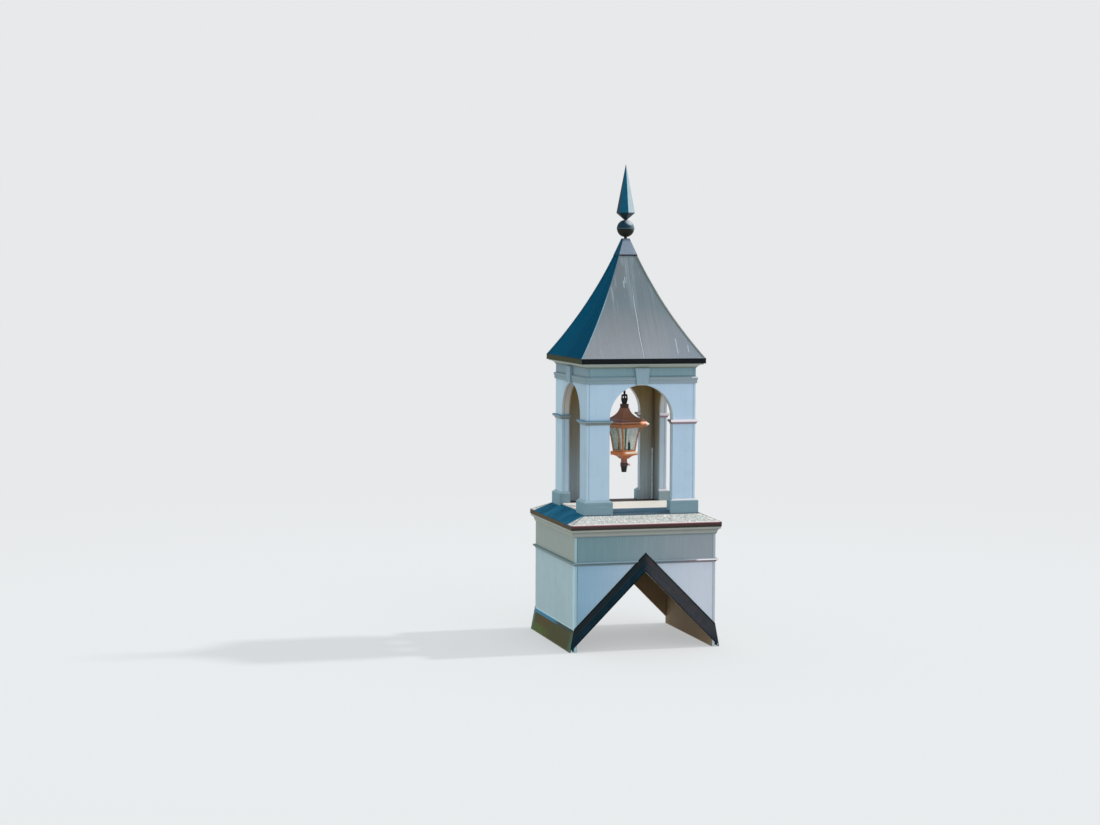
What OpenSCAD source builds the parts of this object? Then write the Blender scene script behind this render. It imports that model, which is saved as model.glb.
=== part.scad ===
/* [Base box] */
// Width of the square base over its walls
base_w = 1016; // [950:1:1200]
// Thickness of the base wall boards
base_wall_t = 19; // [12:1:30]
// Slope of the barn roof that the base sits astride, in degrees
saddle_angle = 45; // [30:1:50]
// Height from the barn ridge to the underside of the band moulding
band_above_ridge = 54; // [40:1:120]
// Height of the plain fascia between the band and the crown moulding
fascia_h = 170; // [120:1:240]
// Height of the band moulding
band_h = 26; // [18:1:40]
// How far the band moulding stands out from the wall
band_out = 17; // [8:1:25]
// Height of the crown moulding under the skirt roof
crown_h = 52; // [40:1:70]
// How far the crown moulding stands out from the wall
crown_out = 29; // [20:1:31]
// Hairline left at each mitre and butt between two lengths of moulding
mitre_gap = 0.6; // [0.4:0.1:1.5]

/* [Flashing] */
// Thickness of the copper sheet
sheet_t = 2; // [1:0.5:3]
// Width of the flashing that climbs the saddle, square to its slope
rake_w = 94; // [60:1:130]
// How far the apron flashing flares out from the side wall at its foot
apron_out = 32; // [20:1:45]
// Height of the apron flashing
apron_h = 150; // [100:1:165]
// Height of the flat lap of the apron against the wall
apron_lap = 24; // [16:1:60]
// Width of the folded hem along a flashing's edge
hem_w = 8; // [5:1:14]
// How far a folded hem stands out from its sheet
hem_t = 2; // [1:0.5:3]

/* [Skirt roof] */
// How far the skirt roof reaches out from the base wall
skirt_out = 34; // [32:1:60]
// Height of the skirt roof's drip edge
skirt_drip_h = 31; // [20:1:45]
// Slope of the skirt roof in degrees
skirt_angle = 23.5; // [15:0.5:32]
// Height of the copper curb at the edge of the lantern floor
curb_h = 9; // [6:1:20]

/* [Lantern] */
// Width of the square lantern over its piers
lantern_w = 786; // [700:1:860]
// Width of the arched opening in each side
opening_w = 456; // [380:1:500]
// Thickness of the lantern's walls and piers
pier_t = 60; // [45:1:75]
// Height of the plinth blocks above the lantern floor
plinth_h = 80; // [60:1:110]
// How far the plinth blocks stand out from the piers
plinth_out = 20; // [10:1:28]
// Height of the bevel on top of the plinth blocks
plinth_bevel = 15; // [8:1:24]
// Height of the pier shaft between plinth and impost
shaft_h = 519; // [400:1:700]
// Height of the impost moulding
impost_h = 31; // [22:1:45]
// How far the impost moulding stands out from the pier
impost_out = 20; // [10:1:28]
// Straight stretch between the impost moulding and the spring of the arch
stilt_h = 13; // [4:1:30]

/* [Entablature] */
// Wall left between the top of the arch and the architrave
arch_cover = 11; // [6:1:30]
// Height of the lower fascia of the architrave
low_fascia_h = 23; // [15:1:35]
// Height of the upper fascia of the architrave with its fillet
top_fascia_h = 21; // [15:1:35]
// How far the upper fascia stands out from the wall
architrave_out = 14; // [10:1:18]
// Height of the frieze
frieze_h = 62; // [40:1:100]
// Height of the bed moulding under the eaves
bed_h = 31; // [22:1:45]
// How far the bed moulding stands out from the wall
bed_out = 43; // [30:1:48]
// Width of the keystone at its top
key_top_w = 106; // [80:1:130]
// Width of the keystone at its foot
key_foot_w = 82; // [50:1:100]
// How far the keystones stand out from the wall
key_out = 23; // [19:1:29]

/* [Main roof] */
// How far the main roof reaches out from the lantern wall
roof_out = 51; // [50:1:80]
// Height of the main roof's drip edge
roof_drip_h = 34; // [24:1:50]
// How far that drip edge stands out past the foot of the roof's copper
roof_drip_out = 5; // [2:1:12]
// Height of the curved roof from its drip edge to the foot of the cap
roof_rise = 708; // [500:1:900]
// Half width of the roof where the cap begins
roof_neck = 62; // [45:1:90]
// How far the roof's curve falls inside a straight slope
roof_sag = 25; // [10:1:40]
// Thickness of the boards under the copper
deck_t = 18; // [12:1:25]
// Height of the cap over the peak
cap_h = 120; // [90:1:130]
// How far the cap stands proud of the roof at its foot
cap_lip = 7; // [4:1:10]
// Half width of the cap where the finial stands
cap_top = 24; // [21:1:30]

/* [Finial] */
// Radius of the neck between cap and ball
neck_r = 11; // [8:1:16]
// Height of the neck
neck_h = 12; // [8:1:24]
// Radius of the ball
ball_r = 61; // [45:1:75]
// How far the seam round the ball stands proud
ball_seam = 2; // [1:0.5:4]
// Height of that seam
ball_seam_h = 6; // [4:1:10]
// Radius of the spear at its widest, to a corner
spear_r = 67; // [50:1:80]
// Height of the spear's lower cone
spear_low_h = 50; // [30:1:70]
// Height of the spear's upper cone
spear_top_h = 337; // [250:1:420]
// Radius of the spear's foot on the ball, to a corner
spear_foot_r = 8; // [5:1:12]
// Radius of the spear's blunted tip, to a corner
spear_tip_r = 2; // [1:0.5:4]

/* [Lamp] */
// How far the hanging lamp is turned from the walls, in degrees
lamp_turn = 21; // [0:1:45]
// Height of the lamp's foot above the lantern floor
lamp_clear = 234; // [190:1:280]
// Radius of the burner casing under the lamp
casing_r = 23; // [16:1:26]
// Radius of the casing's foot
casing_foot_r = 17; // [10:1:22]
// Height of the casing
casing_h = 41; // [30:1:60]
// Radius of the valve over the casing
valve_r = 26; // [22:1:30]
// Height of the valve
valve_h = 26; // [18:1:36]
// How far the valve's tap reaches out from the lamp's axis
tap_reach = 42; // [36:1:60]
// Radius of the tap's knob
tap_r = 8; // [5:1:10]
// Radius of the cup's neck
cup_neck_r = 22; // [16:1:24]
// Height of the cup's neck
cup_neck_h = 28; // [15:1:45]
// Height of the cup's bell between neck and plate
cup_h = 27; // [20:1:50]
// Half width of the bell's foot
cup_foot = 24; // [24:1:34]
// How far the bell's curve falls inside a straight slope
cup_sag = 5; // [2:1:8]
// Half width of the cup under the plate
cup_top = 62; // [50:1:66]
// Width of the plate under the glass
plate_w = 137; // [134:1:180]
// Thickness of that plate
plate_h = 25; // [14:1:34]
// Width of the glass body at its foot
glass_foot_w = 114; // [100:1:130]
// Width of the glass body where it begins to flare
glass_knee_w = 134; // [124:1:150]
// Width of the glass body at its top
glass_top_w = 190; // [170:1:205]
// Height of the glass body
glass_h = 175; // [140:1:210]
// Height of the straight part of the glass body
knee_h = 84; // [60:1:110]
// Width of the copper bars at the lamp's corners
bar_w = 11; // [8:1:16]
// Thickness of the copper bars
bar_t = 4; // [3:0.5:6]
// Thickness of the glass
glass_t = 3; // [2:0.5:5]
// Width of the stile beside the lamp's door
stile_w = 8; // [6:1:14]
// How far the stile stands from the middle of its side
stile_off = 20; // [10:1:30]
// Width of the lamp over its rim
rim_w = 254; // [240:1:280]
// Height of the rim
rim_h = 38; // [28:1:56]
// How far the rim rolls out past its top and foot
rim_roll = 15; // [8:1:18]
// Thickness of the plate across the rim's top
rim_plate_t = 4; // [3:0.5:8]
// How far the hat stands in from the rim's top
hat_in = 3; // [1:1:8]
// Height of the upright edge round the hat's foot
hat_edge_h = 14; // [8:1:20]
// Height of the hat, its edge included
hat_h = 95; // [80:1:130]
// How far the hat's curve falls inside a straight slope
hat_sag = 18; // [8:1:22]
// Radius of the vent collar on top of the hat
collar_r = 30; // [28:1:36]
// Height of the vent collar
collar_h = 28; // [16:1:40]
// Height of the yoke that the lamp hangs by
yoke_h = 68; // [50:1:90]
// Width of the yoke
yoke_w = 54; // [40:1:56]
// Thickness of the yoke
yoke_t = 10; // [6:1:16]
// Radius of the rod that the lamp hangs from
rod_r = 8; // [5:0.5:12]
// Radius of the candle sleeves
candle_r = 9; // [6:1:11]
// Height of the candle sleeves
candle_h = 64; // [45:1:80]
// Distance of each candle from the lamp's axis
candle_off = 35; // [24:1:40]

/* [Hidden] */
$fn = 96;

base_half = base_w / 2;
lantern_half = lantern_w / 2;
opening_half = opening_w / 2;
saddle_slope = tan(saddle_angle);
ridge_z = (base_half + apron_out) * saddle_slope;
rake_v = rake_w / cos(saddle_angle);
band_z = ridge_z + band_above_ridge;
crown_z = band_z + band_h + fascia_h;
skirt_z = crown_z + crown_h;
skirt_half = base_half + skirt_out;
skirt_eave_z = skirt_z + skirt_drip_h;
skirt_slope = tan(skirt_angle);
skirt_top_z = skirt_eave_z + (skirt_half - lantern_half) * skirt_slope;
skirt_sheet_v = sheet_t / cos(skirt_angle);
floor_z = skirt_top_z + curb_h;
plinth_top_z = floor_z + plinth_h;
impost_z = plinth_top_z + shaft_h;
impost_top_z = impost_z + impost_h;
spring_z = impost_top_z + stilt_h;
arch_top_z = spring_z + opening_half;
architrave_z = arch_top_z + arch_cover;
architrave_h = low_fascia_h + top_fascia_h;
frieze_z = architrave_z + architrave_h;
bed_z = frieze_z + frieze_h;
eave_z = bed_z + bed_h;
roof_half = lantern_half + roof_out;
roof_z = eave_z + roof_drip_h;
roof_top_z = roof_z + roof_rise;
roof_steps = 16;
roof_sheet_x = sheet_t * 1.25;
deck_x = deck_t * 1.25;
cap_top_z = roof_top_z + cap_h;
sheet_tip_z = cap_top_z - 20;
deck_tip_z = sheet_tip_z - 10;
ball_flat = 3;
ball_z = cap_top_z + neck_h + ball_r - ball_flat;
spear_z = ball_z + ball_r - ball_flat;
lamp_z = floor_z + lamp_clear;
valve_z = lamp_z + casing_h;
cup_z = valve_z + valve_h;
bell_z = cup_z + cup_neck_h;
plate_z = bell_z + cup_h;
glass_z = plate_z + plate_h;
rim_z = glass_z + glass_h;
hat_z = rim_z + rim_h;
collar_z = hat_z + hat_h;
yoke_z = collar_z + collar_h;
rod_z = yoke_z + yoke_h;
seal = 1;
far = 2 * base_w;

paint = [0.86, 0.89, 0.91];
dark_copper = [0.20, 0.24, 0.25];
roof_copper = [0.45, 0.50, 0.52];
skirt_copper = [0.70, 0.74, 0.70];
lamp_copper = [0.72, 0.40, 0.24];
iron = [0.07, 0.07, 0.08];
timber = [0.62, 0.50, 0.36];
clear_glass = [0.75, 0.85, 0.82, 0.4];

// Points of an arc from a to b, both included, that bends by sag to the left of its chord
function sagging_arc(a, b, sag, steps) =
    let (
        chord = norm(b - a),
        radius = chord * chord / (8 * sag) + sag / 2,
        half_turn = asin(chord / 2 / radius),
        along = (b - a) / chord,
        aside = [along[1], -along[0]]
    )
    [for (i = [0:steps])
        let (t = -half_turn + 2 * half_turn * i / steps)
        (a + b) / 2 + along * radius * sin(t) - aside * (radius * cos(t) - radius + sag)];

// Turns [distance, height] points of one side into a symmetric outline
function both_sides(side) =
    concat(side, [for (i = [len(side) - 1:-1:0]) [-side[i][0], side[i][1]]]);

// Square solid whose four sides all follow the same [distance, height] points
module four_sided(side) {
    outline = both_sides(side);
    intersection() {
        rotate([90, 0, 0])
            linear_extrude(height = far, center = true) polygon(outline);
        rotate([90, 0, 90])
            linear_extrude(height = far, center = true) polygon(outline);
    }
}

// Square block centred on the axis
module square_block(half, z0, z1) {
    translate([-half, -half, z0]) cube([2 * half, 2 * half, z1 - z0]);
}

// Stands a flat outline upright and thickens it from y0 to y1
module upright_xz(y0, y1) {
    translate([0, y1, 0]) rotate([90, 0, 0])
        linear_extrude(height = y1 - y0) children();
}

// One copy for each of the four sides, each turned to face outward
module each_side() {
    for (turn = [0:90:270]) rotate([0, 0, turn]) children();
}

// Hairline slots on the two diagonals, where lengths of moulding are mitred
module mitre_slots(z0, z1) {
    for (turn = [45, 135])
        rotate([0, 0, turn]) translate([-far / 2, -mitre_gap / 2, z0]) cube([far, mitre_gap, z1 - z0]);
}

// Base walls

module saddle_wall() {
    reach = base_half - base_wall_t;
    foot_z = ridge_z - reach * saddle_slope;
    upright_xz(-base_half, -reach)
        polygon([[-reach, foot_z], [0, ridge_z], [reach, foot_z], [reach, skirt_z], [-reach, skirt_z]]);
}

module side_wall() {
    translate([-base_half, -base_half, 0]) cube([base_wall_t, base_w, skirt_z]);
}

module base_wall_front() { color(paint) saddle_wall(); }
module base_wall_back() { color(paint) rotate([0, 0, 180]) saddle_wall(); }
module base_wall_left() { color(paint) side_wall(); }
module base_wall_right() { color(paint) rotate([0, 0, 180]) side_wall(); }

// Flashing

// Outline of the flashing that climbs both slopes of the saddle
module rake_outline(lift) {
    foot_x = base_half + apron_out;
    top_z = ridge_z + rake_v;
    shoulder = base_half + sheet_t;
    polygon([
        [0, top_z], [shoulder, top_z - shoulder * saddle_slope], [foot_x, lift],
        [foot_x, 0], [0, ridge_z], [-foot_x, 0], [-foot_x, lift], [-shoulder, top_z - shoulder * saddle_slope]
    ]);
}

module rake_hem_outline() {
    top_z = ridge_z + rake_v;
    shoulder = base_half + sheet_t;
    drop = hem_w / cos(saddle_angle);
    polygon([
        [0, top_z], [shoulder, top_z - shoulder * saddle_slope],
        [shoulder, top_z - shoulder * saddle_slope - drop], [0, top_z - drop],
        [-shoulder, top_z - shoulder * saddle_slope - drop], [-shoulder, top_z - shoulder * saddle_slope]
    ]);
}

module rake_flashing() {
    union() {
        upright_xz(-base_half - sheet_t, -base_half) rake_outline(hem_w);
        upright_xz(-base_half - sheet_t - hem_t, -base_half - sheet_t / 2) rake_hem_outline();
    }
}

module apron_flashing() {
    knee_z = apron_h - apron_lap;
    out = base_half + apron_out;
    face = base_half + sheet_t;
    translate([0, base_half, 0]) rotate([90, 0, 0]) linear_extrude(height = base_w)
        polygon([
            [-base_half, knee_z], [-base_half, apron_h],
            [-face - hem_t, apron_h], [-face - hem_t, apron_h - hem_w], [-face, apron_h - hem_w],
            [-face, knee_z], [-out, hem_w], [-out, 0],
            [-out + sheet_t + hem_t, 0], [-out + sheet_t + hem_t, hem_w]
        ]);
}

module rake_flashing_front() { color(dark_copper) rake_flashing(); }
module rake_flashing_back() { color(dark_copper) rotate([0, 0, 180]) rake_flashing(); }
module apron_flashing_left() { color(dark_copper) apron_flashing(); }
module apron_flashing_right() { color(dark_copper) rotate([0, 0, 180]) apron_flashing(); }

// Mouldings round the base

// Cove under a rounded nosing
function band_side() = [
    [base_half + band_out * 0.2, band_z],
    [base_half + band_out * 0.2, band_z + band_h * 0.15],
    each sagging_arc([base_half + band_out * 0.3, band_z + band_h * 0.2],
        [base_half + band_out, band_z + band_h * 0.5], band_h * 0.1, 5),
    [base_half + band_out, band_z + band_h * 0.85], [base_half + band_out * 0.8, band_z + band_h]
];

module band_moulding() {
    color(paint) difference() {
        four_sided(band_side());
        square_block(base_half, band_z - seal, band_z + band_h + seal);
        mitre_slots(band_z - seal, band_z + band_h + seal);
        for (turn = [0, 180])
            rotate([0, 0, turn]) upright_xz(-far, -base_half + seal)
                offset(delta = mitre_gap) rake_outline(hem_w);
    }
}

// Fillet, cove and flat face, from the foot up
function crown_side() = [
    [base_half + crown_out * 0.2, crown_z], [base_half + crown_out * 0.2, crown_z + crown_h * 0.12],
    each sagging_arc([base_half + crown_out * 0.3, crown_z + crown_h * 0.16],
        [base_half + crown_out * 0.88, crown_z + crown_h * 0.7], crown_h * 0.1, 6),
    [base_half + crown_out, crown_z + crown_h * 0.74], [base_half + crown_out, crown_z + crown_h]
];

module crown_moulding() {
    color(paint) difference() {
        four_sided(crown_side());
        square_block(base_half, crown_z - seal, skirt_z + seal);
        mitre_slots(crown_z - seal, skirt_z + seal);
    }
}

// Skirt roof

// Hipped block under the skirt roof's surface, lowered by drop and cut off at half
module skirt_hip(drop, half) {
    edge_z = skirt_eave_z - drop + (skirt_half - half) * skirt_slope;
    four_sided([[half, skirt_z], [half, edge_z], [lantern_half, skirt_top_z - drop]]);
}

module skirt_deck() {
    color(timber) skirt_hip(skirt_sheet_v, skirt_half - sheet_t);
}

module skirt_roof() {
    color(skirt_copper) difference() {
        skirt_hip(0, skirt_half);
        skirt_hip(skirt_sheet_v, skirt_half + seal);
        square_block(lantern_half, skirt_z, floor_z);
    }
}

module skirt_drip_edge() {
    color(dark_copper) intersection() {
        skirt_hip(skirt_sheet_v, skirt_half);
        difference() {
            square_block(skirt_half, skirt_z, skirt_eave_z);
            square_block(skirt_half - sheet_t, skirt_z - seal, skirt_eave_z + seal);
        }
    }
}

module lantern_floor() {
    color(skirt_copper) square_block(lantern_half, skirt_top_z - skirt_sheet_v, floor_z);
}

// Piers and their mouldings

module pier_plan() {
    leg = lantern_half - opening_half;
    translate([-lantern_half, -lantern_half]) {
        square([leg, pier_t]);
        square([pier_t, leg]);
    }
}

module pier(z0, z1) {
    translate([0, 0, z0]) linear_extrude(height = z1 - z0) pier_plan();
}

// Trim round the outer faces and the opening ends of one pier, following [out, height] points
module pier_trim(side) {
    leg_end = -opening_half;
    outer = -lantern_half;
    along = concat([for (p = side) [outer - p[0], p[1]]],
        [for (i = [len(side) - 1:-1:0]) [leg_end + side[i][0], side[i][1]]]);
    across = concat([for (p = side) [outer - p[0], p[1]]],
        [[outer + pier_t, side[len(side) - 1][1]], [outer + pier_t, side[0][1]]]);
    module leg() {
        intersection() {
            rotate([90, 0, 0]) linear_extrude(height = far, center = true) polygon(along);
            rotate([90, 0, 90]) linear_extrude(height = far, center = true) polygon(across);
        }
    }
    difference() {
        union() {
            leg();
            mirror([1, -1, 0]) leg();
        }
        pier(side[0][1] - seal, side[len(side) - 1][1] + seal);
    }
}

module pier_front_left() { color(paint) pier(floor_z, impost_top_z); }
module pier_front_right() { color(paint) rotate([0, 0, 90]) pier(floor_z, impost_top_z); }
module pier_back_right() { color(paint) rotate([0, 0, 180]) pier(floor_z, impost_top_z); }
module pier_back_left() { color(paint) rotate([0, 0, 270]) pier(floor_z, impost_top_z); }

module plinth_blocks() {
    color(paint) each_side() difference() {
        pier_trim([
            [plinth_out, skirt_z], [plinth_out, plinth_top_z - plinth_bevel],
            [plinth_out * 0.2, plinth_top_z - plinth_bevel * 0.1], [plinth_out * 0.2, plinth_top_z]
        ]);
        skirt_hip(0, skirt_half);
        square_block(lantern_half, skirt_z - seal, floor_z);
    }
}

module impost_mouldings() {
    color(paint) each_side() pier_trim(concat(
        [[impost_out * 0.2, impost_z]],
        sagging_arc([impost_out * 0.3, impost_z + impost_h * 0.1],
            [impost_out * 0.8, impost_z + impost_h * 0.5], impost_h * 0.07, 5),
        [[impost_out, impost_z + impost_h * 0.52], [impost_out, impost_top_z - impost_h * 0.07],
            [impost_out * 0.9, impost_top_z]]
    ));
}

// Arch heads and entablature

module arch_head(half) {
    upright_xz(-lantern_half, -lantern_half + pier_t) difference() {
        translate([-half, impost_top_z]) square([2 * half, eave_z - impost_top_z]);
        translate([0, spring_z]) circle(r = opening_half);
        translate([-opening_half, impost_top_z - seal]) square([opening_w, stilt_h + seal]);
    }
}

module arch_head_front() { color(paint) arch_head(lantern_half); }
module arch_head_back() { color(paint) rotate([0, 0, 180]) arch_head(lantern_half); }
module arch_head_left() { color(paint) rotate([0, 0, 270]) arch_head(lantern_half - pier_t); }
module arch_head_right() { color(paint) rotate([0, 0, 90]) arch_head(lantern_half - pier_t); }

// Outline of a keystone, grown sideways by clear
module key_outline(clear) {
    top = key_top_w / 2 + clear;
    foot = key_foot_w / 2 + clear;
    polygon([[-foot, arch_top_z], [foot, arch_top_z], [top, bed_z], [-top, bed_z]]);
}

module keystones() {
    color(paint) each_side() upright_xz(-lantern_half - key_out, -lantern_half) key_outline(0);
}

module architrave() {
    low_out = architrave_out * 0.6;
    top_out = architrave_out * 0.85;
    split_z = architrave_z + low_fascia_h;
    color(paint) difference() {
        four_sided([
            [lantern_half + low_out, architrave_z], [lantern_half + low_out, split_z],
            [lantern_half + top_out, split_z], [lantern_half + top_out, frieze_z - top_fascia_h * 0.25],
            [lantern_half + architrave_out, frieze_z - top_fascia_h * 0.2],
            [lantern_half + architrave_out, frieze_z]
        ]);
        square_block(lantern_half, architrave_z - seal, frieze_z + seal);
        mitre_slots(architrave_z - seal, frieze_z + seal);
        each_side() upright_xz(-far, -lantern_half + seal) key_outline(mitre_gap);
    }
}

module bed_moulding() {
    color(paint) difference() {
        four_sided(concat(
            [[lantern_half + bed_out * 0.12, bed_z], [lantern_half + bed_out * 0.12, bed_z + bed_h * 0.16]],
            sagging_arc([lantern_half + bed_out * 0.19, bed_z + bed_h * 0.2],
                [lantern_half + bed_out * 0.93, eave_z - bed_h * 0.26], bed_h * 0.16, 6),
            [[lantern_half + bed_out, eave_z - bed_h * 0.22], [lantern_half + bed_out, eave_z]]
        ));
        square_block(lantern_half, bed_z - seal, eave_z + seal);
        mitre_slots(bed_z - seal, eave_z + seal);
    }
}

// Main roof

// Points of the roof's curve, moved in by inset
function roof_side(inset) =
    sagging_arc([roof_half - inset, roof_z], [roof_neck - inset, roof_top_z], roof_sag, roof_steps);

module roof_shape(inset, z0, tip) {
    four_sided(concat([[roof_half - inset, z0]], roof_side(inset), [[0, tip]]));
}

module ceiling_board() {
    color(paint) square_block(roof_half - sheet_t, eave_z, eave_z + deck_t);
}

module roof_deck() {
    z0 = eave_z + deck_t;
    color(timber) difference() {
        roof_shape(roof_sheet_x, z0, deck_tip_z);
        roof_shape(roof_sheet_x + deck_x, z0 - seal, roof_top_z - deck_x);
    }
}

module main_roof() {
    color(roof_copper) difference() {
        roof_shape(0, roof_z, sheet_tip_z);
        roof_shape(roof_sheet_x, roof_z - seal, deck_tip_z);
    }
}

module roof_drip_edge() {
    color(dark_copper) difference() {
        square_block(roof_half + roof_drip_out, eave_z, roof_z);
        square_block(roof_half - sheet_t, eave_z - seal, roof_z + seal);
    }
}

module roof_cap() {
    color(roof_copper) difference() {
        four_sided([[roof_neck + cap_lip, roof_top_z], [cap_top, cap_top_z]]);
        roof_shape(0, roof_z, sheet_tip_z);
    }
}

// Finial

module finial_neck() {
    color(dark_copper) translate([0, 0, cap_top_z]) cylinder(r = neck_r, h = neck_h);
}

module finial_ball() {
    color(dark_copper) translate([0, 0, ball_z]) rotate_extrude() difference() {
        union() {
            circle(r = ball_r);
            translate([0, -ball_seam_h / 2]) square([ball_r + ball_seam, ball_seam_h]);
        }
        translate([-far, -far / 2]) square([far, far]);
        translate([0, -ball_r - seal]) square([far, ball_flat + seal]);
        translate([0, ball_r - ball_flat]) square([far, far]);
    }
}

module finial_spear() {
    color(dark_copper) translate([0, 0, spear_z]) rotate([0, 0, 30]) {
        cylinder(r1 = spear_foot_r, r2 = spear_r, h = spear_low_h, $fn = 6);
        translate([0, 0, spear_low_h]) cylinder(r1 = spear_r, r2 = spear_tip_r, h = spear_top_h, $fn = 6);
    }
}

// Hanging lamp

module lamp_rod() {
    color(iron) translate([0, 0, rod_z]) cylinder(r = rod_r, h = eave_z - rod_z);
}

module lamp_yoke() {
    color(iron) rotate([0, 0, lamp_turn]) upright_xz(-yoke_t / 2, yoke_t / 2) difference() {
        polygon([
            [-yoke_w * 0.3, yoke_z], [yoke_w * 0.3, yoke_z], [yoke_w / 2, yoke_z + yoke_h * 0.45],
            [yoke_w * 0.42, rod_z], [-yoke_w * 0.42, rod_z], [-yoke_w / 2, yoke_z + yoke_h * 0.45]
        ]);
        for (side = [-1, 1])
            translate([side * yoke_w * 0.2, yoke_z + yoke_h * 0.7]) circle(r = yoke_w * 0.14);
    }
}

module lamp_hat() {
    foot = rim_w / 2 - rim_roll - hat_in;
    color(lamp_copper) rotate([0, 0, lamp_turn]) union() {
        four_sided(concat(
            [[foot, hat_z]],
            sagging_arc([foot - hat_edge_h * 0.35, hat_z + hat_edge_h],
                [collar_r * 0.8, collar_z], hat_sag, 10)
        ));
        translate([0, 0, collar_z - seal]) cylinder(r = collar_r, h = collar_h + seal);
    }
}

module lamp_rim() {
    half = rim_w / 2;
    color(lamp_copper) rotate([0, 0, lamp_turn]) difference() {
        four_sided([
            [half - rim_roll, rim_z], [half - rim_roll * 0.85, rim_z + rim_h * 0.14],
            [half - rim_roll * 0.2, rim_z + rim_h * 0.4], [half, rim_z + rim_h * 0.54],
            [half - rim_roll * 0.2, rim_z + rim_h * 0.68], [half - rim_roll * 0.85, rim_z + rim_h * 0.88],
            [half - rim_roll, hat_z]
        ]);
        square_block(glass_top_w / 2 - bar_w, rim_z - seal, hat_z - rim_plate_t);
    }
}

// Outline of the lamp's glass body, straight below and flared above, moved in by inset
function body_side(inset) = concat(
    [[glass_foot_w / 2 - inset, glass_z]],
    sagging_arc([glass_knee_w / 2 - inset, glass_z + knee_h],
        [glass_top_w / 2 - inset, rim_z], glass_h * 0.03, 5));

// Outline of one sight opening between the corner bars and the rails
module sight_outline() {
    intersection() {
        polygon(both_sides(body_side(bar_w)));
        translate([-far / 2, glass_z + bar_w]) square([far, glass_h - 1.5 * bar_w]);
    }
}

module lamp_frame() {
    color(lamp_copper) rotate([0, 0, lamp_turn]) difference() {
        four_sided(body_side(0));
        four_sided(body_side(bar_t));
        for (turn = [0, 90, 180]) rotate([0, 0, turn]) upright_xz(-far, 0) sight_outline();
        rotate([0, 0, 270]) upright_xz(-far, 0) difference() {
            sight_outline();
            translate([stile_off, glass_z]) square([stile_w, glass_h]);
        }
    }
}

module lamp_glass() {
    color(clear_glass) rotate([0, 0, lamp_turn]) difference() {
        four_sided(body_side(bar_t));
        four_sided(body_side(bar_t + glass_t));
        mitre_slots(glass_z - seal, rim_z + seal);
    }
}

module lamp_candles() {
    color(iron) rotate([0, 0, lamp_turn - 45])
        for (x = [-candle_off, candle_off]) translate([x, 0, glass_z]) cylinder(r = candle_r, h = candle_h);
}

module lamp_cup() {
    color(lamp_copper) rotate([0, 0, lamp_turn]) union() {
        square_block(plate_w / 2, plate_z, glass_z);
        four_sided(concat(sagging_arc([cup_foot, bell_z], [cup_top, plate_z], cup_sag, 6), [[cup_top, plate_z + seal]]));
        translate([0, 0, cup_z]) cylinder(r = cup_neck_r, h = cup_neck_h + seal);
    }
}

module lamp_valve() {
    color(iron) {
        translate([0, 0, lamp_z]) cylinder(r1 = casing_foot_r, r2 = casing_r, h = casing_h);
        translate([0, 0, valve_z - seal]) cylinder(r = valve_r, h = valve_h + seal);
        rotate([0, 0, lamp_turn - 45]) translate([0, 0, valve_z + valve_h / 2]) rotate([0, 90, 0]) {
            cylinder(r = tap_r * 0.5, h = tap_reach - tap_r);
            translate([0, 0, tap_reach - tap_r]) cylinder(r = tap_r, h = tap_r);
        }
    }
}

base_wall_front();
base_wall_back();
base_wall_left();
base_wall_right();
band_moulding();
crown_moulding();
rake_flashing_front();
rake_flashing_back();
apron_flashing_left();
apron_flashing_right();
skirt_deck();
skirt_roof();
skirt_drip_edge();
lantern_floor();
pier_front_left();
pier_front_right();
pier_back_left();
pier_back_right();
plinth_blocks();
impost_mouldings();
arch_head_front();
arch_head_back();
arch_head_left();
arch_head_right();
keystones();
architrave();
bed_moulding();
ceiling_board();
roof_deck();
main_roof();
roof_drip_edge();
roof_cap();
finial_neck();
finial_ball();
finial_spear();
lamp_rod();
lamp_yoke();
lamp_hat();
lamp_rim();
lamp_frame();
lamp_glass();
lamp_candles();
lamp_cup();
lamp_valve();
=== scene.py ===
import math
from functools import cached_property

import bmesh
import bpy
from mathutils import Matrix, Vector


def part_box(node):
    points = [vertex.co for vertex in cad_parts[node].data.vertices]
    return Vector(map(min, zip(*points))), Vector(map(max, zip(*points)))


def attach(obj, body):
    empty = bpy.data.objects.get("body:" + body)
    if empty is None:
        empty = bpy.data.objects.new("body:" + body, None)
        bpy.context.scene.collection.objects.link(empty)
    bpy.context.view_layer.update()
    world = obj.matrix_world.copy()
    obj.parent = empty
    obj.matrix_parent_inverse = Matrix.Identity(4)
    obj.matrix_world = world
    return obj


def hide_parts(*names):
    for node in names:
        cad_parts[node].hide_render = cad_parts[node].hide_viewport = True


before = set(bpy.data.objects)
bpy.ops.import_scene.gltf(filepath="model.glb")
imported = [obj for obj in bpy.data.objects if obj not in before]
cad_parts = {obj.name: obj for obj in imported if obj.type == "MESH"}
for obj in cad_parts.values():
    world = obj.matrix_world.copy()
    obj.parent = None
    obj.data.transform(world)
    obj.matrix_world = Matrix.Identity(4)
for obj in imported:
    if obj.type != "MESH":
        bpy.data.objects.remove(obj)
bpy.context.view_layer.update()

MM = 0.001
BODY = "root"
LAMP_TURN = math.radians(21)


# Node trees, written as Python


def maths(operation):
    """A method of Signal that adds one Math node."""
    def method(signal, *values):
        return signal.maker.node("ShaderNodeMath", [signal, *values], operation=operation)
    return method


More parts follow.
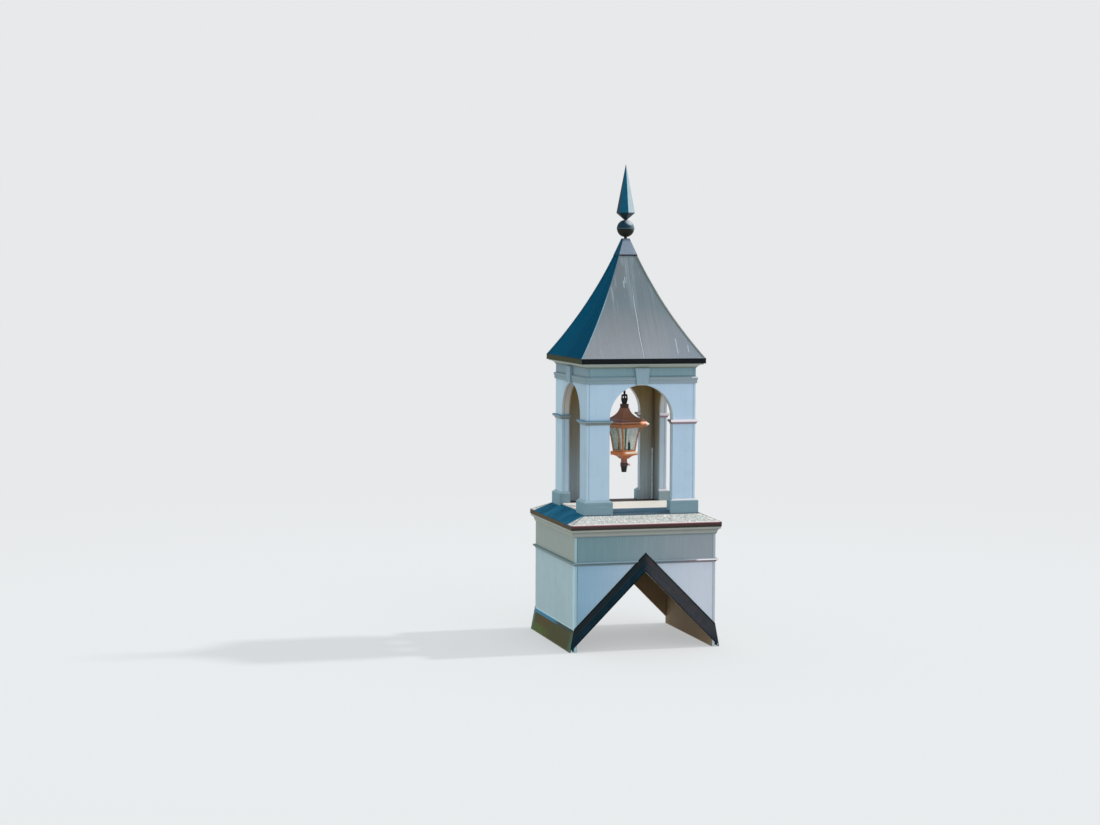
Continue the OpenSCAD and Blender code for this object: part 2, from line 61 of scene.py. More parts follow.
class Signal:
    """A socket in a node tree. Arithmetic on it adds Math nodes."""

    def __init__(self, maker, socket):
        self.maker = maker
        self.socket = socket

    __add__ = __radd__ = maths("ADD")
    __sub__ = maths("SUBTRACT")
    __mul__ = __rmul__ = maths("MULTIPLY")
    __truediv__ = maths("DIVIDE")
    __abs__ = maths("ABSOLUTE")
    over = maths("GREATER_THAN")
    most = maths("MAXIMUM")
    whole = maths("FLOOR")
    fraction = maths("FRACT")
    sine = maths("SINE")
    cosine = maths("COSINE")
    arcsine = maths("ARCSINE")
    root = maths("SQRT")

    def __rsub__(self, other):
        return self.maker.node("ShaderNodeMath", [other, self], operation="SUBTRACT")

    def __neg__(self):
        return self * -1

    def rise(self, low, high):
        """A smooth rise from 0 at low to 1 at high, or a fall where low is above high."""
        return self.maker.node("ShaderNodeMapRange", [self, low, high], interpolation_type="SMOOTHSTEP")

    def other(self, output):
        return Signal(self.maker, self.socket.node.outputs[output])


def tone(red, green, blue):
    """A colour given in display values from 0 to 255."""
    def linear(value):
        value /= 255
        return value / 12.92 if value <= 0.04045 else ((value + 0.055) / 1.055) ** 2.4
    return linear(red), linear(green), linear(blue), 1


class Maker:
    """Adds nodes to one tree."""

    def __init__(self, tree):
        self.tree = tree

    def node(self, kind, inputs=(), out=0, **settings):
        """Adds a node, gives its sockets their values or links and returns an output."""
        made = self.tree.nodes.new(kind)
        for key, value in settings.items():
            setattr(made, key, value)
        for key, value in inputs.items() if isinstance(inputs, dict) else enumerate(inputs):
            if isinstance(value, Signal):
                self.tree.links.new(value.socket, made.inputs[key])
            else:
                made.inputs[key].default_value = value
        return Signal(self, made.outputs[out])

    def parts(self, vector):
        """The three numbers of a vector."""
        split = self.node("ShaderNodeSeparateXYZ", [vector])
        return split, split.other(1), split.other(2)

    def joined(self, x, y, z):
        return self.node("ShaderNodeCombineXYZ", [x, y, z])

    def scaled(self, vector, sizes):
        return self.node("ShaderNodeVectorMath", [vector, sizes], operation="MULTIPLY")

    def blend(self, share, first, second):
        """first where share is 0, second where it is 1. A colour of three numbers is a tone."""
        first, second = (tone(*c) if isinstance(c, tuple) and len(c) == 3 else c for c in (first, second))
        return self.node(
            "ShaderNodeMix", {0: share, 6: first, 7: second}, 2, data_type="RGBA", clamp_factor=True)

    def coats(self, colour, *coats):
        """Lays coats over a colour, each a share and a colour."""
        for share, over in coats:
            colour = self.blend(share, colour, over)
        return colour


class Finish(Maker):
    """A material for one of the cupola's finishes, built round one Principled shader."""

    def __init__(self, name, gloss, **constants):
        self.material = bpy.data.materials.new(name)
        self.material.use_nodes = True
        super().__init__(self.material.node_tree)
        self.shader = self.tree.nodes["Principled BSDF"]
        for label, value in dict(constants, Specular_IOR_Level=gloss).items():
            self.shader.inputs[label.replace("_", " ")].default_value = value

    @cached_property
    def place(self):
        """Where the point is, in metres."""
        return self.node("ShaderNodeTexCoord", (), "Object")

    @cached_property
    def xyz(self):
        """Where the point is, in millimetres."""
        return self.parts(self.scaled(self.place, (1000, 1000, 1000)))

    @cached_property
    def normal(self):
        return self.parts(self.node("ShaderNodeNewGeometry", (), "Normal"))

    @cached_property
    def sideways(self):
        """1 where the surface looks left or right, 0 where it looks front or back."""
        return (abs(self.normal[0]) - abs(self.normal[1])).over(0)

    @cached_property
    def level(self):
        """Distance along the face, level, in millimetres."""
        return self.xyz[0] * (1 - self.sideways) + self.xyz[1] * self.sideways

    @cached_property
    def leftward(self):
        """1 on faces that look left, away from the sun."""
        return (-self.normal[0]).rise(0.1, 0.4) * self.sideways

    @cached_property
    def rightward(self):
        return self.normal[0].rise(0.1, 0.4) * self.sideways

    @cached_property
    def inward(self):
        """How far out a surface that looks inward stands, in millimetres."""
        return -(self.xyz[0] * self.normal[0] + self.xyz[1] * self.normal[1])

    def cloud(self, scale, detail=4, rough=0.6, bend=0, at=None):
        """Soft random blotches from 0 to 1. A scale of three numbers stretches them."""
        if isinstance(scale, tuple):
            scale, at = 1, self.scaled(self.place, scale)
        return self.node("ShaderNodeTexNoise", {
            "Vector": at or self.place, "Scale": scale, "Detail": detail, "Roughness": rough,
            "Distortion": bend}, "Fac")

    def runs(self, width, length, detail=4, bend=0):
        """Marks that run down a face, of a rough width and length in millimetres."""
        return self.cloud(1, detail, 0.6, bend, at=self.joined(
            self.level / width, self.sideways * 7 + self.leftward * 3, self.xyz[2] / length))

    def wears(self, label, signal):
        self.tree.links.new(signal.socket, self.shader.inputs[label])

    def made(self, colour, rough, height, depth):
        """Sets the colour, the roughness and the relief, whose depth is in metres."""
        self.wears("Base Color", colour)
        if rough:
            self.wears("Roughness", rough)
        self.wears("Normal", self.node("ShaderNodeBump", {"Height": height, "Distance": depth}))
        return self


def finish(gloss, **constants):
    """Makes the function under it a finish of the same name, from the place in millimetres."""
    def named(paint):
        f = Finish(paint.__name__, gloss, **constants)
        paint(f, *f.xyz)
        return f
    return named


# Paint


def brushed(f, colour, along, wear=0.5):
    """Gives paint its brush marks, faint grain, dust and sheen."""
    cloudy = f.cloud(9)
    dust = f.cloud(46, 4, 0.65)
    brush = f.cloud(tuple(5 if i == along else 210 for i in range(3)), 3, 0.65)
    grain = f.cloud(tuple(1.8 if i == along else 58 for i in range(3)), 5, 0.7, 0.4)
    soft = f.runs(38, 900).rise(0.48, 0.72) * (0.1 + f.leftward * 0.14)
    colour = f.coats(
        colour,
        (cloudy.rise(0.45, 0.75) * 0.14 * wear, (120, 134, 140)),
        (soft * wear, f.blend(f.leftward, (150, 160, 158), (150, 158, 128))),
        (brush.rise(0.5, 0.75) * 0.08, (240, 246, 250)),
        (grain.rise(0.6, 0.8) * 0.07, (110, 122, 126)),
        (dust.rise(0.62, 0.74) * 0.12 * wear, (134, 138, 120)))
    f.made(colour, 0.5 + cloudy * 0.14 + dust * 0.08, brush * 0.3 + grain * 0.35 + cloudy * 0.8, 0.0005)


@finish(0.25)
def base_paint(f, x, y, z):
    """The base's boards, with painted shade above the band and a painted reflection across the front below
    it.
    """
    # Painted reflection: the front's lower boards go from dark blue at the left to light grey at the right,
    # darkest low on the left.
    lower = f.coats(
        f.blend(x.rise(-520, 420), (140, 176, 198), (208, 213, 224)),
        (x.rise(-250, -480) * z.rise(420, 120) * 0.7, (122, 162, 184)),
        ((z + abs(x)).rise(684, 676) * 0.6, (164, 198, 204)))
    # Painted shade: the boards above the band are darker, as under the skirt's overhang.
    upper = f.blend(x.rise(-420, 420), (114, 144, 150), (148, 156, 162))
    side = f.blend(y.rise(-440, -490), (186, 212, 216), (208, 234, 242))
    side = f.blend(z.rise(166, 156) * 0.8, side, (208, 246, 255))
    over_band = z.rise(604, 608)
    right_half = x.rise(-10, 10)
    ends = abs(x).rise(490, 491) * (1 - f.sideways)
    joint = abs(abs(x) - 489).rise(3.6, 1.6) * (1 - f.sideways)
    brushed(f, f.coats(
        f.blend(over_band, lower, upper),
        (f.leftward, f.blend(over_band, side, (167, 178, 169))),
        (f.rightward, f.blend(over_band, (214, 218, 220), (190, 194, 192))),
        (ends * 0.75, f.blend(right_half, (170, 204, 214), (176, 190, 198))),
        (joint * (0.8 - right_half * 0.5), (64, 98, 112)),
        (f.inward.rise(20, 60), (168, 142, 104))), 2)


@finish(0.25)
def lantern_paint(f, x, y, z):
    """Piers and arch heads, clean in front, with painted shade in brown and grey inside and on the frieze,
    and painted light on the upper jambs and in a band at impost height.
    """
    # Painted light: a bluer band along the wall at impost height on the left half.
    painted_glow = z.rise(1592, 1582) * z.rise(1560, 1570) * x.rise(0, -100)
    # Painted shade: the frieze under the eaves is darker.
    frieze = z.rise(1870, 1874)
    # Painted shadow: a dark line along the frieze just above the architrave.
    painted_shadow_line = z.rise(1886, 1880) * frieze * (0.35 + x.rise(-300, 300) * 0.35)
    inside = abs(x).most(abs(y)).rise(346, 337)
    jamb = f.inward.rise(4, 60) * (1 - inside)
    climb = z.rise(1120, 1480)
    # Painted shade inside the lantern: grey below, going warm brown towards the ceiling, darker and bluer by
    # the front wall, with dirt runs.
    inner_shade_and_dirt = f.coats(
        f.blend(climb, (142, 155, 161), (143, 138, 121)),
        (z.rise(1480, 1780), (170, 145, 92)),
        (f.runs(16, 700).rise(0.45, 0.75) * 0.3, (100, 86, 66)),
        (y.rise(-310, -325) * 0.38, f.blend(climb, (100, 126, 148), (100, 90, 74))))
    joint = abs(abs(x) - 376).rise(2.8, 1.2) * (1 - f.sideways) * (1 - inside)
    brushed(f, f.coats(
        f.blend(z.rise(1040, 1800), (182, 206, 222), (184, 209, 228)),
        (x.rise(-200, 200) * 0.6, (190, 212, 232)),
        (painted_glow * 0.6, (158, 202, 230)),
        (f.leftward, f.blend(y.rise(150, 250), (184, 211, 226), (196, 225, 238))),
        (x.rise(100, 150) * y.rise(100, 150), (189, 204, 217)),
        (frieze, f.blend(f.leftward, (128, 158, 166), (142, 168, 177))),
        (painted_shadow_line, (84, 112, 124)),
        # Painted light on the upper jambs: warm beige on the left, pale grey on the right.
        (jamb * z.rise(1500, 1660) * 0.8, f.blend(x.rise(-100, 100), (216, 201, 178), (222, 223, 218))),
        (inside, inner_shade_and_dirt),
        (joint * 0.6, (92, 124, 140))), 2)


@finish(0.2)
def impost_paint(f, x, y, z):
    """Painted shade, with a teal top, on the two left piers; painted sunlight on the right ones, with
    painted shade on their left-facing returns.
    """
    # Painted shade: the left piers' imposts, teal on top and bluer on faces that look left.
    painted_shade_left = f.coats(
        f.blend(z.rise(1558, 1564), (138, 142, 138), (134, 152, 158)),
        (z.rise(1571, 1575), (84, 118, 134)),
        (f.leftward * 0.7, f.blend(z.rise(1564, 1570), (164, 182, 182), (94, 142, 166))))
    # Painted sunlight: the right piers' imposts, nearly white, with painted shade on faces that look left.
    painted_sunlit = f.coats(
        f.blend(z.rise(1556, 1563), (160, 138, 146), (255, 243, 247)),
        (f.rightward.most(f.normal[2].rise(0.3, 0.7)), (206, 200, 204)),
        (f.leftward, (114, 114, 110)))
    brushed(f, f.blend(x.rise(150, 200), painted_shade_left, painted_sunlit), 0, 0.3)


@finish(0.2)
def band_paint(f, x, y, z):
    """The band's light top, a painted shadow line under it and its duller foot, with painted sunlight at the
    right and painted shade on its left faces.
    """
    top = z.rise(610, 613)
    # Painted sunlight on the upper part of the band's right-hand end.
    painted_sunlit = x.rise(350, 385) * z.rise(607, 611) * (-y).rise(504, 508) * f.normal[2].rise(0.7, 0.4)
    # Painted shade: where the band looks left, its top is dark.
    side = f.blend(z.rise(610, 614), (146, 168, 170), (96, 120, 120))
    # Painted shadow in the dark line just under the light top; the pinker tone over the right half is
    # painted sunlight.
    brushed(f, f.coats(
        f.blend(top, f.blend(z.rise(602, 604), (130, 148, 156), (92, 114, 120)), (132, 156, 166)),
        (x.rise(0, 420) * 0.75, f.blend(top, (154, 132, 138), (150, 150, 158))),
        (painted_sunlit, (255, 248, 250)),
        (f.leftward.most((-x).rise(508, 511)), side),
        (f.rightward, (176, 178, 178))), 0, 0.3)


@finish(0.2)
def architrave_paint(f, x, y, z):
    """The boards over the arches, warmer at the right, with a painted highlight at the right-hand end of the
    top edge.
    """
    # Painted highlight where the sun catches the right-hand end of the top edge.
    glint = x.rise(356, 368) * (-y).rise(380, 390) * z.rise(1864, 1868) * f.normal[2].rise(0.97, 0.85)
    brushed(f, f.coats(
        f.blend(x.rise(-400, 400), (134, 157, 165), (152, 165, 172)),
        (glint, (244, 247, 252)),
        (f.leftward, (144, 168, 174))), 0)


@finish(0.25)
def plinth_paint(f, x, y, z):
    """Grey blue blocks with a painted highlight along the top edge, brightest on the right-hand blocks."""
    front = f.blend(x.rise(150, 200) * y.rise(150, 200), (121, 148, 158), (140, 156, 161))
    colour = f.blend(f.leftward, front, (126, 163, 174))
    edge = f.coats(
        f.blend(x.rise(150, 200), (148, 170, 180), (212, 205, 209)),
        ((-f.normal[0]).rise(0.1, 0.4), (150, 178, 188)),
        (f.normal[0].rise(0.1, 0.4), (158, 168, 174)))
    # Painted highlight along the top edge, where the sun grazes it.
    painted_top_glint = z.rise(1014, 1019) * f.normal[2].rise(0.97, 0.85)
    brushed(f, f.blend(painted_top_glint * 0.85, colour, edge), 0, 0.5)


@finish(0.2)
def keystone_paint(f, x, y, z):
    """The four keystones, each with a painted cream highlight along its foot."""
    colour = f.blend(f.leftward, (144, 169, 180), (150, 176, 186))
    brushed(f, f.blend(z.rise(1826, 1820) * 0.7, colour, (206, 206, 196)), 2)


@finish(0.2)
def bed_mould_paint(f, x, y, z):
    """The cream moulding under the eaves with its three fine lines and a painted shadow along its foot."""
    line = abs(((z - 1938) / 9).fraction() - 0.5).rise(0.36, 0.46)
    brushed(f, f.coats(
        f.blend(f.leftward, (202, 210, 198), (206, 214, 204)),
        (line * 0.35, (120, 130, 128)),
        # Painted shadow along the foot of the moulding.
        (z.rise(1946, 1942) * 0.7, (92, 98, 88))), 0, 0.3)


@finish(0.2)
def crown_paint(f, x, y, z):
    """The base's crown moulding, darker along its foot."""
    colour = f.blend(z.rise(800, 793) * 0.8, (164, 167, 158), (112, 131, 138))
    brushed(f, f.blend(f.leftward, colour, (184, 190, 178)), 0)


@finish(0.3)
def ceiling_paint(f, x, y, z):
    """The lantern's ceiling boards, a dusty warm grey."""
    brushed(f, (176, 170, 150), 1, 0.9)


@finish(0.2, Roughness=0.8)
def bare_timber(f, x, y, z):
    """Sheathing boards, seen only from below."""
    board = (y / 140).whole()
    grain = f.cloud(1, 5, 0.65, 0.8, at=f.joined(x / 620, y / 22 + board * 3.7, z / 22))
    bands = f.cloud(1, 2, 0.5, at=f.joined(x / 2000, y / 110 + board * 5.1, z / 110))
    rings = (bands * 46).sine() * 0.5 + 0.5
    gap = abs((y / 140).fraction() - 0.5).rise(0.482, 0.494)
    colour = f.blend(grain * 0.6 + rings * 0.4, (196, 164, 118), (130, 98, 62))
    f.made(f.blend(gap * 0.8, colour, (52, 38, 26)), None, grain + rings * 0.4 - gap * 2, 0.0008)


# Sheet copper


@finish(0.02)
def roof_copper(f, x, y, z):
    """Weathered sheet, grey in the sun, with painted sunlight on the right and painted shade in deep blue
    green on the shaded side.
    """
    blotch = f.cloud(3.1, 5)
    cloudy = f.cloud(19, 4, 0.65)
    mottle = f.cloud(95, 3)
    runs = f.runs(40, 800, 5, 0.2)
    threads = f.runs(11, 260, 3)
    patch = f.runs(60, 240, 2).rise(0.5, 0.66) * z.rise(2260, 2480)
    foot = threads.rise(0.6, 0.72) * z.rise(2260, 2060)
    specks = f.node("ShaderNodeTexVoronoi", {"Vector": f.scaled(f.place, (1, 1, 0.5)), "Scale": 34})

    def drip(side, top, fall):
        line = abs(x - side + (cloudy - 0.5) * 6).rise(4.5, 1.5) * z.rise(top, top - 12)
        return line * z.rise(top - fall - 12, top - fall) * 0.6, (182, 198, 202)

    body = f.coats(
        f.blend(z.rise(2440, 2020), (106, 119, 126), (138, 143, 150)),
        (x.rise(60, 420) * z.rise(2300, 2060) * 0.7, (118, 131, 144)),
        (blotch.rise(0.35, 0.7) * 0.35, (124, 123, 124)),
        (mottle.rise(0.35, 0.7) * 0.14, (96, 103, 106)),
        (runs.rise(0.5, 0.75) * 0.26, (150, 155, 160)),
        (runs.rise(0.46, 0.22) * 0.26, (98, 105, 112)),
        (patch * threads.rise(0.46, 0.66) * 0.45, (172, 184, 186)),
        (foot * 0.35, (176, 180, 184)),
        (abs(x + 4).rise(44, 4) * z.rise(2260, 2420) * 0.3, (150, 163, 172)),
        (specks.rise(0.07, 0.04) * blotch.rise(0.52, 0.6) * 0.6, (200, 206, 208)),
        drip(-57, 2540, 50), drip(-45, 2565, 45), drip(254, 2140, 100), drip(335, 2096, 46),
        (abs(f.level - 6.5).rise(4, 1.5) * 0.4, (84, 92, 98)),
        ((abs(y) - x).rise(26, 16) * (1 - f.sideways) * 0.6, (104, 118, 112)),
        # Painted sunlight: lighter on faces that look right.
        (f.rightward * 0.6, f.blend(cloudy, (160, 158, 154), (178, 180, 178))))
    # Painted shade and sky reflection: the shaded side in deep blue green.
    cool = f.coats(
        f.blend(y.rise(300, -380), (0, 76, 104), (0, 66, 93)),
        (cloudy.rise(0.4, 0.75) * 0.2, (0, 92, 122)),
        (runs.rise(0.5, 0.74) * 0.3, (0, 94, 124)),
        (runs.rise(0.46, 0.24) * 0.3, (0, 54, 80)),
        (threads.rise(0.6, 0.74) * 0.18, (16, 114, 138)),
        # Painted shadow: a dark navy line beside each hip on the shaded side.
        ((-x - abs(y)).rise(18, 10) * 0.8, (0, 44, 66)))
    f.wears("Metallic", (1 - f.leftward) * 0.3)
    f.made(
        f.blend(f.leftward, body, cool), 0.42 + cloudy * 0.16 + f.leftward * 0.4,
        cloudy * 0.3 + blotch * 1.2 + runs * 0.3, 0.0009)


@finish(0.15)
def seam_copper(f, x, y, z):
    """Seams and hips: pale, with painted sunlight in rosy grey on the right and painted shade in blue green
    on the shaded side.
    """
    cloudy = f.cloud(30)
    shaded = (y - x).rise(10, 40) * x.rise(-10, -40)
    foot = z.rise(2007, 2005)
    pale = f.coats(
        f.blend(cloudy, (164, 170, 176), (192, 197, 200)),
        # Painted sunlight: rosy grey on the right-hand seams and hips.
        (x.rise(20, 60), f.blend(cloudy, (166, 162, 162), (194, 188, 186))),
        (x.rise(-20, -60), f.blend(cloudy, (108, 136, 150), (142, 170, 184))),
        (z.rise(2340, 2540) * 0.85, f.blend(x.rise(20, -20), (118, 128, 134), (96, 112, 122))),
        (foot, f.blend(z.rise(2003.5, 2002.5), (150, 168, 176), (44, 50, 56))))
    # Painted shade: blue green on the shaded side.
    painted_shade_seams = f.blend(foot, f.blend(y.rise(20, 60), (8, 78, 104), (58, 104, 126)), (20, 52, 56))
    f.made(f.blend(shaded, pale, painted_shade_seams), 0.45 + cloudy * 0.2, cloudy, 0.0004)


@finish(0.05)
def cap_copper(f, x, y, z):
    """The grey blue cap with a near black line along its foot, painted sunlight on the right and painted
    shade in blue green on the left.
    """
    cloudy = f.cloud(26)
    runs = f.runs(16, 250)
    body = f.coats(
        f.blend(cloudy * 0.7 + runs * 0.4, (108, 121, 136), (139, 151, 165)),
        (z.rise(2802, 2822) * 0.6, (58, 74, 84)),
        (z.rise(2719, 2713) * 0.95, (30, 27, 34)),
        # Painted sunlight on faces that look right.
        (f.rightward * 0.5, (176, 178, 178)))
    # Painted shade and sky reflection in blue green on faces that look left.
    cool = f.blend(cloudy, (0, 60, 86), (6, 80, 106))
    f.wears("Metallic", (1 - f.leftward) * 0.3)
    f.made(f.blend(f.leftward, body, cool), 0.45 + cloudy * 0.2 + f.leftward * 0.2, cloudy + runs, 0.0008)


@finish(0.05)
def skirt_copper(f, x, y, z):
    """Low-pitched sheet with a fine pale mottle, with painted shade in blue green where the lantern shades
    it and a painted shadow along the plinths' feet.
    """
    reach = abs(x).most(abs(y))
    patches = f.cloud(6)
    slant = f.cloud(1, at=f.joined((x - y) / 30, (x + y) / 260, 0))
    limit = abs(y) + (patches - 0.5) * 40 + (540 - reach) * 0.15
    # Painted shade: blue green on the left where the lantern shades it.
    shaded = (-f.normal[0]).rise(0.04, 0.08) * limit.rise(452, 424)
    drawn_out = f.scaled(f.place, (1, 0.45, 1))
    flecks = f.cloud(78, 4, 0.7, at=drawn_out)
    spots = f.cloud(36, 3, 0.65, at=drawn_out)
    warm = f.cloud(30, 2, 0.5)
    # Painted shadow: a dark band on the skirt in front of the lantern, along the plinths' feet.
    foot = (-y + (patches - 0.5) * 8).rise(429, 423) * y.rise(-380, -390) * abs(x).rise(424, 412)
    pale = f.coats(
        f.blend(warm.rise(0.44, 0.6), (186, 190, 185), (190, 184, 180)),
        (flecks.rise(0.5, 0.6) * 0.75, (148, 158, 156)),
        (spots.rise(0.54, 0.66) * 0.6, (120, 134, 134)),
        (flecks.rise(0.45, 0.36) * 0.85, (236, 236, 232)),
        (patches.rise(0.5, 0.7) * 0.25, (156, 164, 162)),
        # Painted shade: faces that look right are toned greyer to offset the sun on them.
        (f.normal[0].rise(0.05, 0.15) * 0.45, (170, 177, 174)),
        (reach.rise(525, 530) * 0.8, (226, 210, 210)),
        (reach.rise(533, 538) * 0.8, (112, 88, 90)),
        (foot * 0.92, (50, 74, 90)))
    cool = f.coats(
        f.blend(patches.rise(0.35, 0.7), (16, 86, 114), (28, 104, 134)),
        (slant.rise(0.52, 0.74) * 0.3, (60, 130, 152)),
        (slant.rise(0.46, 0.26) * 0.4, (12, 66, 70)))
    f.made(f.blend(shaded, pale, cool), 0.55 + flecks * 0.2 + shaded * 0.2, flecks + spots * 0.8, 0.0006)


@finish(0.08)
def floor_copper(f, x, y, z):
    """The lantern's floor, pale with painted sunlight where light comes through the side arches, with
    painted shade elsewhere: teal in front, brown behind.
    """
    cloudy = f.cloud(14, 4, 0.65)
    flecks = f.cloud(70, 3)
    pale = f.blend(cloudy, (222, 219, 211), (236, 231, 223))
    pale = f.blend(flecks.rise(0.5, 0.7) * 0.3, pale, (176, 186, 182))
    # Painted shade on the floor outside the band of sunlight: teal in front, brown behind.
    front = f.blend(y.rise(-200, -380), (88, 130, 154), (68, 98, 118))
    painted_floor_shade = f.blend(y.rise(-10, 10), front, f.blend(cloudy, (62, 50, 54), (84, 72, 72)))
    colour = f.blend((abs(y) + (cloudy - 0.5) * 30).rise(200, 216), pale, painted_floor_shade)
    f.made(colour, 0.5 + cloudy * 0.2, cloudy + flecks * 0.5, 0.0008)


def edge_copper(name, face, foot, lip, side, worn, foot_z, lip_z):
    """Folded sheet along an edge: dark, with an olive tone on the shaded side."""
    f = Finish(name, 0.1)
    x, y, z = f.xyz
    cloudy = f.cloud(1, 5, 0.65, at=f.joined(f.level / 80, f.sideways * 4, z / 16))
    runs = f.runs(14, 110)
    body = f.coats(
        f.blend(z.rise(lip_z - 8, foot_z + 4), face, foot),
        (cloudy.rise(0.42, 0.68) * 0.25, (36, 40, 43)),
        (z.rise(lip_z - 4.5, lip_z - 3) * 0.85, lip),
        (runs.rise(0.6, 0.78) * 0.1, (70, 76, 76)))
    shade = f.blend(cloudy.rise(0.35, 0.7) * 0.6, side, worn)
    shade = f.blend(y.rise(-330, -440) * z.rise(lip_z - 16, lip_z - 4) * 0.8, shade, (16, 70, 88))
    return f.made(f.blend(f.leftward, body, shade), 0.5 + cloudy * 0.22, cloudy + runs * 0.4, 0.0006)


@finish(0.06)
def flashing_copper(f, x, y, z):
    """Dark sheet on the two saddle walls, with painted light on the two faces of its fold: near black above,
    dark blue below, and a painted highlight along the fold.
    """
    drop = z + abs(x)
    cloudy = f.cloud(9, 5, 0.65)
    rusty = f.cloud(21, 3)
    along = (z - abs(x)) / 200
    streak = f.cloud(1, at=f.joined(drop / 18, y / 90, along))
    fine = f.cloud(90, 3)
    # Painted light: the two faces of the fold are lit differently, near black above the fold and dark blue
    # below it.
    upper = f.blend(cloudy.rise(0.35, 0.7), (24, 38, 44), (34, 40, 42))
    upper = f.blend(rusty.rise(0.5, 0.66) * 0.35, upper, (58, 42, 38))
    lower = f.blend(cloudy.rise(0.35, 0.7), (8, 34, 44), (20, 46, 58))
    lower = f.blend(rusty.rise(0.54, 0.66) * 0.4, lower, (22, 56, 74))
    right = f.blend(cloudy, (58, 58, 64), (80, 78, 80))
    right = f.blend(rusty.rise(0.5, 0.7) * 0.4, right, (96, 72, 74))
    body = f.coats(
        f.blend(drop.rise(618, 604), upper, lower),
        (x.rise(-30, 60) * 0.75, right),
        # Painted highlight along the fold line.
        (abs(drop - 612).rise(5, 1) * 0.25, (64, 86, 92)),
        (drop.rise(658, 664) * 0.7, (12, 16, 20)),
        (drop.rise(556, 546) * 0.7, (8, 12, 14)),
        (z.rise(150, 30) * 0.6, (18, 36, 50)),
        (streak.rise(0.55, 0.75) * 0.2, (60, 62, 60)))
    f.made(body, 0.5 + cloudy * 0.25, fine * 0.3 + cloudy * 0.9 + streak * 0.4, 0.001)


@finish(0.1)
def apron_copper(f, x, y, z):
    """Olive brown sheet at the foot of the two side walls, with painted shadow along its top, blue towards
    the back.
    """
    cloudy = f.cloud(3.2, 3, 0.55)
    fine = f.cloud(70)
    runs = f.runs(30, 300)
    green = y.rise(-60, 300) * z.rise(84, 30)
    # Painted shadow along the apron's top, dark olive in front and blue towards the back.
    lap = f.blend(y.rise(-140, 40), (66, 82, 78), (72, 146, 178))
    body = f.coats(
        f.blend(cloudy.rise(0.4, 0.62) * 0.6, (78, 78, 46), (98, 78, 42)),
        (green * 0.8, (86, 110, 52)),
        (runs.rise(0.55, 0.75) * 0.2, (62, 68, 50)),
        (y.rise(-400, -490) * 0.8, (80, 116, 94)),
        (y.rise(440, 490) * 0.5, (80, 116, 94)),
        (abs(y).rise(496, 500) * 0.6, (132, 168, 156)),
        (z.rise(122, 130) * 0.9, lap),
        (z.rise(12, 6) * 0.6, (98, 104, 78)))
    f.wears("Metallic", 0.03 + cloudy * 0.04)
    f.made(body, 0.5 + cloudy * 0.2 + fine * 0.08, fine * 0.3 + cloudy + runs * 0.3, 0.0008)


@finish(0.15)
def hem_copper(f, x, y, z):
    """Rolled hems of the aprons, grey green along the foot."""
    cloudy = f.cloud(22)
    fine = f.cloud(130, 3)
    pale = f.blend(cloudy.rise(0.3, 0.7), (160, 180, 168), (184, 202, 192))
    along = z.rise(9, 7) * abs(y).rise(500, 494)
    f.made(f.blend(along, pale, (104, 110, 82)), 0.45 + cloudy * 0.2, fine + cloudy, 0.0005)


@finish(0.12)
def finial_copper(f, x, y, z):
    """Dark copper, with painted sunlight on the right side, painted shade on the left and painted light and
    shade on the ball.
    """
    nx, ny, nz = f.normal
    cloudy = f.cloud(21)
    streaks = f.cloud(1, 4, 0.65, at=f.joined(x / 11, y / 11, z / 140))
    painted_sunlit_side = (nx * 0.93 - ny * 0.35).rise(0.3, 0.7)
    spear = f.coats(
        f.blend(cloudy, (0, 82, 112), (20, 108, 136)),
        (streaks.rise(0.6, 0.78) * 0.4, (84, 160, 184)),
        # Painted shade on faces that look left.
        ((-nx * 0.8 - ny * 0.2).rise(0.5, 0.7) * 0.9, (0, 36, 52)),
        (painted_sunlit_side, f.blend(streaks, (146, 170, 182), (190, 202, 206))),
        (z.rise(3012, 3004) * 0.9, f.blend(painted_sunlit_side, (36, 42, 42), (72, 78, 80))))
    # The ball: painted shade on its lower half, painted sky reflection in blue green above, painted sunlight
    # on its right side, a painted highlight at the upper right and a pale seam round the middle.
    ball = f.coats(
        f.blend(z.rise(2896, 2900), f.blend(cloudy, (26, 28, 26), (42, 43, 38)), (16, 50, 66)),
        (nx.rise(0.1, 0.9) * nz.rise(-0.4, 0.2) * 0.8, (122, 140, 150)),
        ((nx * 0.29 - ny * 0.59 + nz * 0.76).rise(0.8, 1), (162, 172, 178)),
        (abs(z - 2897.8).rise(4, 2.5) * 0.5, (92, 116, 126)))
    colour = f.blend(z.rise(2962, 2954), spear, ball)
    colour = f.blend(streaks.rise(0.62, 0.8) * 0.2, colour, (100, 130, 130))
    f.wears("Metallic", 0.04 + cloudy * 0.08)
    f.made(colour, 0.44 + cloudy * 0.2, cloudy + streaks * 0.5, 0.0006)


eave_copper = edge_copper(
    "eave_copper", face=(17, 21, 25), foot=(15, 19, 21), lip=(16, 21, 25), side=(54, 58, 26),
    worn=(70, 72, 38), foot_z=1965.8, lip_z=1999.8)
skirt_edge_copper = edge_copper(
    "skirt_edge_copper", face=(78, 60, 58), foot=(54, 50, 44), lip=(154, 54, 66), side=(84, 78, 52),
    worn=(96, 68, 50), foot_z=842, lip_z=871.7)


